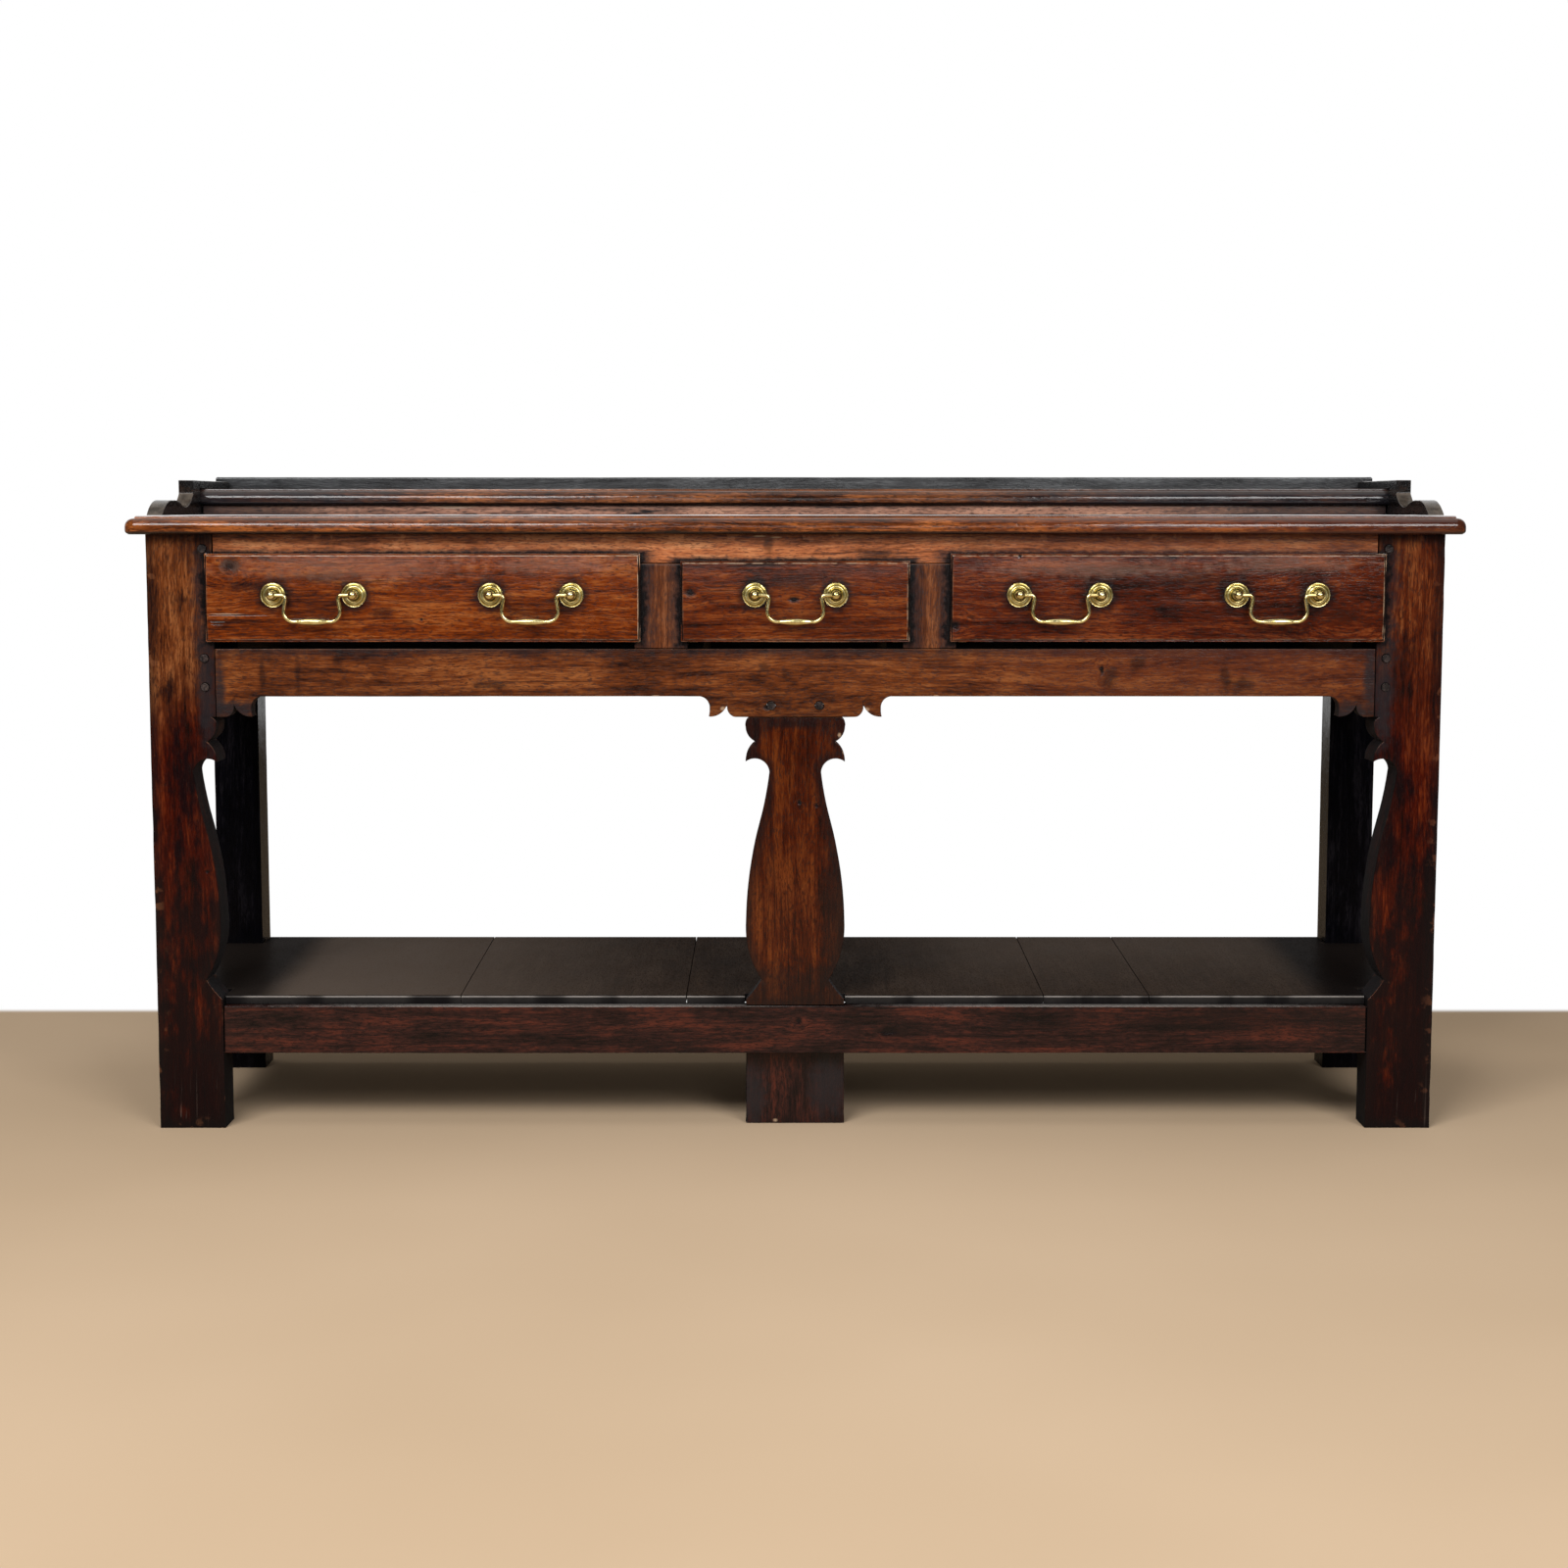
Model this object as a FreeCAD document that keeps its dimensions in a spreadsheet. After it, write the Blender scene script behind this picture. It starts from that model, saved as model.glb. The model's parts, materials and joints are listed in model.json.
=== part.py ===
import FreeCAD
import Part
import Sketcher
import math
import os
from types import SimpleNamespace

# Oak potboard dresser base: joined frame, three lipped drawers with brass swan-neck handles,
# fretted splat, boarded pot shelf and a low stepped gallery.
# Millimetres. +X to the right seen from the front, +Y to the back, +Z up.
# The origin lies on the floor under the middle of the bounding box.

# Driving sizes
SIZES = {
    # frame
    "frame_width": 1750,
    "frame_depth": 440,
    "top_height": 840,
    "front_leg_width": 90,
    "front_leg_thickness": 55,
    "rear_leg_width": 68,
    "rear_leg_thickness": 60,
    "rail_thickness": 28,
    "top_rail_height": 39,
    "top_rail_depth": 40,
    "drawer_opening_height": 115,
    "apron_height": 65,
    "pendant_drop": 28,
    "shelf_clearance": 104.5,
    "stretcher_height": 66.5,
    "side_stretcher_inset": 20,
    "back_stretcher_inset": 12,
    "panel_thickness": 18,
    "panel_inset": 6,
    "panel_tongue": 14,
    "back_panel_inset": 18,
    "edge_wear": 1.5,
    # tenon joints
    "tenon_thickness": 12,
    "tenon_setback": 8,
    "tenon_length": 40,
    "short_tenon_length": 22,
    "stub_tenon_length": 14,
    "tenon_shoulder": 4,
    "joint_clearance": 0.2,
    "peg_diameter": 11,
    "peg_stand": 1.6,
    "peg_length": 36,
    "peg_edge_distance": 14,
    # splat, foot and pot boards
    "splat_width": 136,
    "splat_thickness": 24,
    "splat_setback": 2,
    "foot_thickness": 45,
    "pot_board_thickness": 12,
    "pot_board_rise": 11.4,
    "pot_board_setback": 14,
    "pot_board_end_inset": 5,
    "pot_board_gap": 1,
    "pot_board_round": 4,
    # top and gallery
    "top_thickness": 25,
    "top_overhang": 25,
    "back_overhang": 4,
    "ovolo_radius": 12,
    "quirk_height": 3,
    "quirk_width": 2,
    "underside_round": 6,
    "corner_round": 16,
    "gallery_end_thickness": 22,
    "gallery_end_inset": 2,
    "gallery_end_height": 50,
    "gallery_bump_height": 21,
    "gallery_bump_length": 66,
    "gallery_step_depth": 187,
    "shelf_front_depth": 230,
    "shelf_thickness": 24,
    "shelf_housing": 6,
    "riser_height": 14,
    "riser_thickness": 18,
    "riser_setback": 10,
    "gallery_back_height": 57,
    "gallery_back_thickness": 18,
    # drawers
    "center_opening_width": 290,
    "divider_width": 73,
    "drawer_lip": 10,
    "drawer_proud": 12,
    "drawer_front_round": 5,
    "drawer_bottom_gap": 9,
    "side_drawer_height": 120,
    "center_drawer_height": 110,
    "drawer_block_depth": 14,
    "drawer_back_gap": 19,
    "drawer_side_thickness": 12,
    "drawer_back_thickness": 12,
    "drawer_floor_thickness": 8,
    "drawer_floor_lift": 6,
    "drawer_groove_depth": 6,
    "dovetail_root": 16,
    "dovetail_tip": 10,
    "drawer_slip": 1.5,
    "drawer_headroom": 4,
    "drawer_stop_gap": 0.3,
    "drawer_run_gap": 0.2,
    "runner_height": 30,
    "runner_ledge": 20,
    "guide_height": 30,
    # handles
    "handle_height": 64,
    "handle_offset": 146,
    "post_spacing": 109,
    "post_reach": 15,
    "ball_diameter": 12.5,
    "neck_diameter": 6.4,
    "collar_diameter": 10,
    "collar_height": 1.5,
    "shank_diameter": 6,
    "shank_clearance": 0.2,
    "shank_stand": 2,
    "nut_width": 13,
    "nut_height": 5,
    "rosette_diameter": 33,
    "rosette_height": 5,
    "bail_wire": 5.2,
    "bail_drop": 35.5,
    "bail_inset": 14.3,
    "bail_upper_bend": 5,
    "bail_lower_bend": 14,
    "grip_diameter": 9.4,
    "grip_length": 60,
    "pin_depth": 4.75,
    "pin_end_gap": 0.5,
    "pin_clearance": 0.08,
}

# Fretted edge shared by the splat and the front legs, from the foot upward:
# inset as a share of half the splat width, height as a share of the splat height,
# and the bulge of the arc to the next corner (sagitta over chord, outward positive).
FRET = (
    (0.0, 0.021, -0.03),     # toe of the flared base
    (0.313, 0.09, 0.08),     # ankle cusp
    (0.0, 0.297, 0.03),      # widest point of the belly
    (0.277, 0.636, -0.02),   # shoulder
    (0.474, 0.812, -0.31),   # neck
    (0.0, 0.844, 0.13),      # tip of the hook
    (0.19, 0.916, 0.14),     # upper cusp
    (0.0, 0.968, 0.18),      # side of the lobe
    (0.08, 1.0, 0.0),        # top of the lobe
)

# Apron pendant, outward from the edge of the splat or of a leg:
# offset as a share of the pendant drop, rise as a share of the drop, bulge to the next corner.
PENDANT = (
    (0.5, 0.0, 0.19),        # end of the level bottom
    (0.88, 0.554, 0.17),     # cusp
    (1.786, 0.018, -0.05),   # tip of the hook
    (1.732, 0.43, -0.2),     # root of the hook
    (2.18, 1.0, 0.0),        # straight edge of the apron
)

# Dovetail pins of a drawer corner, as shares of the height of the drawer side; the last is a half pin
PIN_LEVELS = (0.38, 0.7, 1.0)

# Seams of the pot boards, as shares of half the frame width
POT_SEAMS = (-0.526, -0.171, 0.391, 0.557)

# Turn of each bend of a bail: the legs lean ten degrees outward
BEND_TURN = math.radians(100)
BEND_BULGE = math.tan(BEND_TURN / 4) / 2

SIDES = (("left", -1), ("right", 1))


class Size:
    """A number that carries the spreadsheet formula it is worked out from."""

    def __init__(self, value, formula):
        self.value = value
        self.formula = formula

    def __add__(self, other):
        other = as_size(other)
        return Size(self.value + other.value, f"({self.formula} + {other.formula})")

    def __sub__(self, other):
        other = as_size(other)
        return Size(self.value - other.value, f"({self.formula} - {other.formula})")

    def __mul__(self, other):
        other = as_size(other)
        return Size(self.value * other.value, f"({self.formula} * {other.formula})")

    def __truediv__(self, other):
        other = as_size(other)
        return Size(self.value / other.value, f"({self.formula} / {other.formula})")

    def __neg__(self):
        return Size(-self.value, f"(-{self.formula})")

    __rmul__ = __mul__


def as_size(number):
    if isinstance(number, Size):
        return number
    return Size(float(number), f"({float(number)!r})")


def length_between(start, finish):
    across = finish[0] - start[0]
    along = finish[1] - start[1]
    value = math.hypot(across.value, along.value)
    return Size(value, f"sqrt({across.formula}^2 + {along.formula}^2)")


doc = FreeCAD.newDocument("dresser_base")
sheet = doc.addObject("Spreadsheet::Sheet", "Sizes")
for row, (alias, number) in enumerate(SIZES.items(), start=1):
    sheet.set(f"A{row}", alias)
    sheet.set(f"B{row}", str(number))
    sheet.setAlias(f"B{row}", alias)
doc.recompute()
s = SimpleNamespace(**{alias: Size(sheet.get(alias), f"Sizes.{alias}") for alias in SIZES})
nodes = []


# Drawing helpers

def new_body(name):
    body = doc.addObject("PartDesign::Body", name)
    body.Label = name
    return body


def node(thing):
    nodes.append(thing)
    return thing


def place(feature, x, y, z):
    for axis, size in zip("xyz", (x, y, z)):
        feature.setExpression(f"Placement.Base.{axis}", as_size(size).formula)


def block(body, x, y, z, cut=False):
    """Adds or cuts a squared block that fills the given ranges."""
    kind = "Subtractive" if cut else "Additive"
    feature = body.newObject(f"PartDesign::{kind}Box", f"{body.Name}_block")
    for side, (low, high) in zip(("Length", "Width", "Height"), (x, y, z)):
        feature.setExpression(side, (high - low).formula)
    place(feature, x[0], y[0], z[0])
    return feature


def bore_along_y(body, x, y, z, diameter):
    """Cuts a round hole that runs from front to back."""
    feature = body.newObject("PartDesign::SubtractiveCylinder", f"{body.Name}_bore")
    feature.Placement.Rotation = FreeCAD.Rotation(FreeCAD.Vector(1, 0, 0), -90)
    feature.setExpression("Radius", (diameter / 2).formula)
    feature.setExpression("Height", (y[1] - y[0]).formula)
    place(feature, x, y[0], z)
    return feature


def soften(body, radius, chosen):
    """Rounds the edges of the body's last feature whose bounding box passes the test."""
    doc.recompute()
    base = body.Tip
    names = [f"Edge{i}" for i, edge in enumerate(base.Shape.Edges, start=1) if chosen(edge.BoundBox)]
    feature = body.newObject("PartDesign::Fillet", f"{body.Name}_round")
    feature.Base = (base, names)
    feature.setExpression("Radius", radius.formula)
    return feature


def near(number, size):
    return abs(number - as_size(size).value) < 0.01


def sketch_on(body, plane, offset, across=0, up=0):
    """Starts a sketch on an origin plane of the body, moved along the plane's own axes."""
    sketch = body.newObject("Sketcher::SketchObject", f"{body.Name}_sketch")
    support = next(item for item in body.Origin.OriginFeatures if item.Role == plane)
    sketch.AttachmentSupport = [(support, "")]
    sketch.MapMode = "FlatFace"
    forward = -offset if plane == "XZ_Plane" else offset
    for axis, size in zip("xyz", (across, up, forward)):
        sketch.setExpression(f"AttachmentOffset.Base.{axis}", as_size(size).formula)
    return sketch


def draw(sketch, points, bulges):
    """Draws lines and arcs through the points and ties every corner and radius to the sheet."""
    points = [(as_size(x), as_size(y)) for x, y in points]
    closed = len(bulges) == len(points)
    first_rule = sketch.ConstraintCount
    rules = []
    formulas = {}

    def tie(kind, *where, size):
        formulas[first_rule + len(rules)] = size.formula
        rules.append(Sketcher.Constraint(kind, *where, size.value))

    previous_end = None
    first_start = None
    for index, bulge in enumerate(bulges):
        start = points[index]
        finish = points[(index + 1) % len(points)]
        head = FreeCAD.Vector(start[0].value, start[1].value, 0)
        tail = FreeCAD.Vector(finish[0].value, finish[1].value, 0)
        chord = tail - head
        if bulge:
            crown = (head + tail) / 2 + FreeCAD.Vector(chord.y, -chord.x, 0) * bulge
            edge = sketch.addGeometry(Part.Arc(head, crown, tail), False)
            radius = length_between(start, finish) * (1 / (8 * abs(bulge)) + abs(bulge) / 2)
            tie("Radius", edge, size=radius)
        else:
            edge = sketch.addGeometry(Part.LineSegment(head, tail), False)
        edge_start, edge_end = ((edge, 2), (edge, 1)) if bulge < 0 else ((edge, 1), (edge, 2))
        tie("DistanceX", -1, 1, *edge_start, size=start[0])
        tie("DistanceY", -1, 1, *edge_start, size=start[1])
        if previous_end:
            rules.append(Sketcher.Constraint("Coincident", *previous_end, *edge_start))
        previous_end = edge_end
        first_start = first_start or edge_start
    if closed:
        rules.append(Sketcher.Constraint("Coincident", *previous_end, *first_start))
    else:
        tie("DistanceX", -1, 1, *previous_end, size=points[-1][0])
        tie("DistanceY", -1, 1, *previous_end, size=points[-1][1])
    sketch.addConstraint(rules)
    for index, formula in formulas.items():
        sketch.setExpression(f"Constraints[{index}]", formula)


def extrude(body, plane, start, length, points, bulges=None):
    """Pads a closed outline from a plane, along the world axis that crosses it."""
    sketch = sketch_on(body, plane, start)
    draw(sketch, points, bulges or [0] * len(points))
    pad = body.newObject("PartDesign::Pad", f"{body.Name}_pad")
    pad.Profile = sketch
    pad.Reversed = plane == "XZ_Plane"
    pad.setExpression("Length", length.formula)
    return pad


def bars_along_x(body, x, outlines, cut=False):
    """Adds or cuts several bars that run along X, each with its own outline seen from the side."""
    sketch = sketch_on(body, "YZ_Plane", x[0])
    for outline in outlines:
        draw(sketch, outline, [0] * len(outline))
    feature = body.newObject(f"PartDesign::{'Pocket' if cut else 'Pad'}", f"{body.Name}_bars")
    feature.Profile = sketch
    feature.Reversed = cut
    feature.setExpression("Length", (x[1] - x[0]).formula)
    return feature


def turned(body, points, bulges):
    """Revolves a closed outline, given as depth and radius, about the Y axis."""
    sketch = sketch_on(body, "YZ_Plane", as_size(0))
    draw(sketch, points, bulges)
    feature = body.newObject("PartDesign::Revolution", f"{body.Name}_turning")
    feature.Profile = sketch
    feature.ReferenceAxis = (sketch, ["H_Axis"])
    feature.Angle = 360
    return feature


def both_ways(size):
    return (-size, size)


def on_side(sign, inner, outer):
    """A range of X between two distances from the middle, on the chosen side."""
    return (as_size(inner), as_size(outer)) if sign > 0 else (-outer, -inner)


def flipped(points, bulges):
    """Mirrors a chain left to right and keeps it running the same way round."""
    return [(-x, y) for x, y in reversed(points)], list(reversed(bulges))


# Lines and levels that several pieces share

front_reach = s.drawer_stop_gap + s.drawer_proud + s.post_reach + s.ball_diameter / 2
front = -(s.frame_depth + s.back_overhang - front_reach) / 2
back = front + s.frame_depth
half_frame = s.frame_width / 2
leg_edge = half_frame - s.front_leg_width
rear_leg_edge = half_frame - s.rear_leg_width
front_leg_back = front + s.front_leg_thickness
rear_leg_front = back - s.rear_leg_thickness
floor = as_size(0)
frame_top = s.top_height - s.top_thickness
opening_top = frame_top - s.top_rail_height
apron_top = opening_top - s.drawer_opening_height
apron_edge = apron_top - s.apron_height
pendant_bottom = apron_edge - s.pendant_drop
stretcher_top = s.shelf_clearance + s.stretcher_height
pot_board_top = stretcher_top + s.pot_board_thickness
splat_half = s.splat_width / 2
rail_back = front + s.rail_thickness
tenon_depth = (front + s.tenon_setback, front + s.tenon_setback + s.tenon_thickness)
divider_inner = s.center_opening_width / 2
divider_outer = divider_inner + s.divider_width
back_panel_depth = (back - s.back_panel_inset - s.panel_thickness, back - s.back_panel_inset)
panel_outer = half_frame - s.panel_inset
panel_inner = panel_outer - s.panel_thickness
side_stretcher_outer = half_frame - s.side_stretcher_inset
side_stretcher_inner = side_stretcher_outer - s.rail_thickness
back_stretcher_depth = (back - s.back_stretcher_inset - s.rail_thickness, back - s.back_stretcher_inset)
pot_board_front = front + s.pot_board_setback
pot_board_back = back_stretcher_depth[1]
splat_tenon_half = splat_half * 0.66
splat_tenon_top = pendant_bottom + s.pendant_drop
peg_reach = (front - s.peg_stand, front + s.peg_length)
peg_x = leg_edge + s.peg_edge_distance
top_rail_peg_z = (frame_top + opening_top) / 2
apron_peg_levels = (apron_top - s.apron_height * 0.2, apron_top - s.apron_height * 0.8)
leg_pegs = [(peg_x, level) for level in (top_rail_peg_z, *apron_peg_levels)]
splat_pegs = [(splat_half * 0.48, pendant_bottom + s.pendant_drop * 0.57)]


def eased(span, ease):
    return (span[0] - ease, span[1] + ease)


def shouldered(low, high):
    return (low + s.tenon_shoulder, high - s.tenon_shoulder)


top_rail_tenon = shouldered(opening_top, frame_top)
apron_tenon = shouldered(apron_edge, apron_top)
stretcher_tenon = shouldered(s.shelf_clearance, stretcher_top)
rail_tenon_end = leg_edge + s.tenon_length
rear_tenon_end = rear_leg_edge + s.short_tenon_length
side_tenon_x = (
    (side_stretcher_inner + side_stretcher_outer - s.tenon_thickness) / 2,
    (side_stretcher_inner + side_stretcher_outer + s.tenon_thickness) / 2,
)
side_tenon_y = (front_leg_back - s.short_tenon_length, rear_leg_front + s.short_tenon_length)
back_tenon_y = (
    (back_stretcher_depth[0] + back_stretcher_depth[1]) / 2,
    back_stretcher_depth[1] - s.tenon_shoulder,
)


# Front legs, apron and splat: the fretted silhouette

def fretted_edge(edge):
    """The fretted edge right of a vertical centre line, from the foot upward."""
    height = pendant_bottom - stretcher_top
    points = [(edge - splat_half * inset, stretcher_top + height * level) for inset, level, _ in FRET]
    return points, [bulge for _, _, bulge in FRET[:-1]]


def pendant_edge(edge):
    """Half a pendant that grows to the right of a vertical edge, from its bottom upward."""
    drop = s.pendant_drop
    points = [(edge + drop * offset, pendant_bottom + drop * rise) for offset, rise, _ in PENDANT]
    return points, [bulge for _, _, bulge in PENDANT[:-1]]


def front_leg(name, sign):
    body = new_body(f"front_leg_{name}")
    fret_points, fret_bulges = fretted_edge(-leg_edge)
    points = [(-half_frame, floor), (-leg_edge, floor), *fret_points]
    points += [(-leg_edge, pendant_bottom), (-leg_edge, frame_top), (-half_frame, frame_top)]
    bulges = [0, 0, *fret_bulges, 0, 0, 0, 0]
    if sign > 0:
        points, bulges = flipped(points, bulges[:-1])
        bulges.append(0)
    extrude(body, "XZ_Plane", front, s.front_leg_thickness, points, bulges)
    mortise_x = on_side(sign, leg_edge, rail_tenon_end + s.joint_clearance)
    mortise_y = eased(tenon_depth, s.joint_clearance)
    for tenon in (top_rail_tenon, apron_tenon, stretcher_tenon):
        block(body, mortise_x, mortise_y, eased(tenon, s.joint_clearance), cut=True)
    tongue_y = (front_leg_back - s.panel_tongue - s.joint_clearance, front_leg_back)
    tongue_z = (apron_edge - s.joint_clearance, frame_top)
    panel_x = on_side(sign, *eased((panel_inner, panel_outer), s.joint_clearance))
    block(body, panel_x, tongue_y, tongue_z, cut=True)
    side_x = on_side(sign, *eased(side_tenon_x, s.joint_clearance))
    side_y = (side_tenon_y[0] - s.joint_clearance, front_leg_back)
    block(body, side_x, side_y, eased(stretcher_tenon, s.joint_clearance), cut=True)
    for x, z in leg_pegs:
        bore_along_y(body, x * sign, (front, peg_reach[1]), z, s.peg_diameter)
    return node(body)


for name, sign in SIDES:
    front_leg(name, sign)

apron = new_body("apron_rail")
middle = pendant_edge(splat_half)
bracket = flipped(*pendant_edge(-leg_edge))
apron_points = [*middle[0], *bracket[0], (leg_edge, pendant_bottom), (leg_edge, apron_top)]
apron_bulges = [*middle[1], 0, *bracket[1], 0, 0]
left_points, left_bulges = flipped(apron_points, apron_bulges)
extrude(apron, "XZ_Plane", front, s.rail_thickness,
        [*apron_points, *left_points], [*apron_bulges, 0, *left_bulges, 0])
block(apron, both_ways(rail_tenon_end), tenon_depth, apron_tenon)
divider_tenon_x = shouldered(divider_inner, divider_outer)
for name, sign in SIDES:
    stub_x = on_side(sign, *eased(divider_tenon_x, s.joint_clearance))
    stub_z = (apron_top - s.stub_tenon_length - s.joint_clearance, apron_top)
    block(apron, stub_x, eased(tenon_depth, s.joint_clearance), stub_z, cut=True)
    for x, z in leg_pegs[1:] + splat_pegs:
        bore_along_y(apron, x * sign, (front, peg_reach[1]), z, s.peg_diameter)
splat_mortise_x = both_ways(splat_tenon_half + s.joint_clearance)
block(apron, splat_mortise_x, eased(tenon_depth, s.joint_clearance),
      (pendant_bottom, splat_tenon_top + s.joint_clearance), cut=True)
node(apron)

splat = new_body("center_splat")
right_points, right_bulges = fretted_edge(splat_half)
right_points = [(splat_half, stretcher_top), *right_points]
right_bulges = [0, *right_bulges]
left_points, left_bulges = flipped(right_points, right_bulges)
extrude(splat, "XZ_Plane", front + s.splat_setback, s.splat_thickness,
        [*right_points, *left_points], [*right_bulges, 0, *left_bulges, 0])
for tenon_z in ((stretcher_top - s.stub_tenon_length, stretcher_top), (pendant_bottom, splat_tenon_top)):
    block(splat, both_ways(splat_tenon_half), tenon_depth, tenon_z)
for name, sign in SIDES:
    for x, z in splat_pegs:
        bore_along_y(splat, x * sign, (front, peg_reach[1]), z, s.peg_diameter)
node(splat)


# Rails, dividers, rear legs and panels of the frame

top_rail = new_body("top_front_rail")
block(top_rail, both_ways(leg_edge), (front, front + s.top_rail_depth), (opening_top, frame_top))
soften(top_rail, s.edge_wear, lambda box: near(box.YMax, front) and near(box.ZMax, opening_top))
block(top_rail, both_ways(rail_tenon_end), tenon_depth, top_rail_tenon)
for name, sign in SIDES:
    stub_x = on_side(sign, *eased(divider_tenon_x, s.joint_clearance))
    stub_z = (opening_top, opening_top + s.stub_tenon_length + s.joint_clearance)
    block(top_rail, stub_x, eased(tenon_depth, s.joint_clearance), stub_z, cut=True)
    bore_along_y(top_rail, peg_x * sign, (front, peg_reach[1]), top_rail_peg_z, s.peg_diameter)
node(top_rail)

for name, sign in SIDES:
    divider = new_body(f"drawer_divider_{name}")
    divider_x = on_side(sign, divider_inner, divider_outer)
    block(divider, divider_x, (front, rail_back), (apron_top, opening_top))
    block(divider, on_side(sign, *divider_tenon_x), tenon_depth,
          (apron_top - s.stub_tenon_length, opening_top + s.stub_tenon_length))
    node(divider)

for name, sign in SIDES:
    rear_leg = new_body(f"rear_leg_{name}")
    block(rear_leg, on_side(sign, rear_leg_edge, half_frame), (rear_leg_front, back), (floor, frame_top))
    soften(rear_leg, s.edge_wear, lambda box: near(box.ZLength, frame_top))
    tongue_y = (rear_leg_front, rear_leg_front + s.panel_tongue + s.joint_clearance)
    panel_x = on_side(sign, *eased((panel_inner, panel_outer), s.joint_clearance))
    block(rear_leg, panel_x, tongue_y, (apron_edge - s.joint_clearance, frame_top), cut=True)
    groove_x = on_side(sign, rear_leg_edge, rear_leg_edge + s.panel_tongue + s.joint_clearance)
    groove_z = (apron_edge - s.joint_clearance, frame_top)
    block(rear_leg, groove_x, eased(back_panel_depth, s.joint_clearance), groove_z, cut=True)
    side_x = on_side(sign, *eased(side_tenon_x, s.joint_clearance))
    side_y = (rear_leg_front, side_tenon_y[1] + s.joint_clearance)
    block(rear_leg, side_x, side_y, eased(stretcher_tenon, s.joint_clearance), cut=True)
    tenon_x = on_side(sign, rear_leg_edge, rear_tenon_end + s.joint_clearance)
    tenon_y = eased(back_tenon_y, s.joint_clearance)
    block(rear_leg, tenon_x, tenon_y, eased(stretcher_tenon, s.joint_clearance), cut=True)
    node(rear_leg)

for name, sign in SIDES:
    panel = new_body(f"side_panel_{name}")
    block(panel, on_side(sign, panel_inner, panel_outer),
          (front_leg_back - s.panel_tongue, rear_leg_front + s.panel_tongue), (apron_edge, frame_top))
    node(panel)

back_panel = new_body("back_panel")
block(back_panel, both_ways(rear_leg_edge + s.panel_tongue), back_panel_depth, (apron_edge, frame_top))
node(back_panel)


# Pot shelf: stretchers, centre foot and boards

front_stretcher = new_body("front_stretcher")
block(front_stretcher, both_ways(leg_edge), (front, rail_back), (s.shelf_clearance, stretcher_top))
soften(front_stretcher, s.edge_wear, lambda box: near(box.YMax, front) and near(box.XLength, leg_edge * 2))
block(front_stretcher, both_ways(rail_tenon_end), tenon_depth, stretcher_tenon)
block(front_stretcher, splat_mortise_x, eased(tenon_depth, s.joint_clearance),
      (stretcher_top - s.stub_tenon_length - s.joint_clearance, stretcher_top), cut=True)
node(front_stretcher)

def shelf_level(y):
    """Height of the underside of the pot boards, which rise towards the back."""
    return stretcher_top + s.pot_board_rise * ((y - pot_board_front) / (pot_board_back - pot_board_front))


back_stretcher = new_body("back_stretcher")
block(back_stretcher, both_ways(rear_leg_edge), back_stretcher_depth,
      (s.shelf_clearance, shelf_level(back_stretcher_depth[0])))
block(back_stretcher, both_ways(rear_tenon_end), back_tenon_y, stretcher_tenon)
node(back_stretcher)

for name, sign in SIDES:
    stretcher = new_body(f"side_stretcher_{name}")
    inner, outer = on_side(sign, side_stretcher_inner, side_stretcher_outer)
    extrude(stretcher, "YZ_Plane", inner, outer - inner, [
        (front_leg_back, s.shelf_clearance), (rear_leg_front, s.shelf_clearance),
        (rear_leg_front, shelf_level(rear_leg_front)), (front_leg_back, shelf_level(front_leg_back)),
    ])
    block(stretcher, on_side(sign, *side_tenon_x), side_tenon_y, stretcher_tenon)
    node(stretcher)

foot = new_body("center_foot")
block(foot, both_ways(splat_half), (rail_back, rail_back + s.foot_thickness), (floor, stretcher_top))
soften(foot, s.edge_wear, lambda box: near(box.YMax, rail_back))
node(foot)

pot_board_end = half_frame - s.pot_board_end_inset
gap = s.pot_board_gap
splat_back = front + s.splat_setback + s.splat_thickness
shelf_rear = stretcher_top + s.pot_board_rise
pot_board_profile = [
    (pot_board_front, stretcher_top), (pot_board_back, shelf_rear),
    (pot_board_back, shelf_rear + s.pot_board_thickness), (pot_board_front, pot_board_top),
]
shelf_z = (stretcher_top, shelf_rear + s.pot_board_thickness)
seams = [half_frame * share for share in POT_SEAMS]
board_lefts = [-pot_board_end, *[seam + gap / 2 for seam in seams]]
board_rights = [*[seam - gap / 2 for seam in seams], pot_board_end]


def leg_notches(sign):
    """The places of the front and rear leg in an end board."""
    return [
        (on_side(sign, leg_edge - gap, pot_board_end), (pot_board_front, front_leg_back + gap)),
        (on_side(sign, rear_leg_edge - gap, pot_board_end), (rear_leg_front - gap, pot_board_back)),
    ]


splat_notch = (both_ways(splat_half + gap), (pot_board_front, splat_back + gap))
notches = [leg_notches(-1), [], [splat_notch], [], leg_notches(1)]
for number, (left, right, cuts) in enumerate(zip(board_lefts, board_rights, notches), start=1):
    board = new_body(f"pot_board_{number}")
    extrude(board, "YZ_Plane", left, right - left, pot_board_profile)
    soften(board, s.pot_board_round,
           lambda box: near(box.YMax, pot_board_front) and near(box.ZMin, pot_board_top))
    for notch_x, notch_y in cuts:
        block(board, notch_x, notch_y, shelf_z, cut=True)
    node(board)


# Top and gallery

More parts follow.
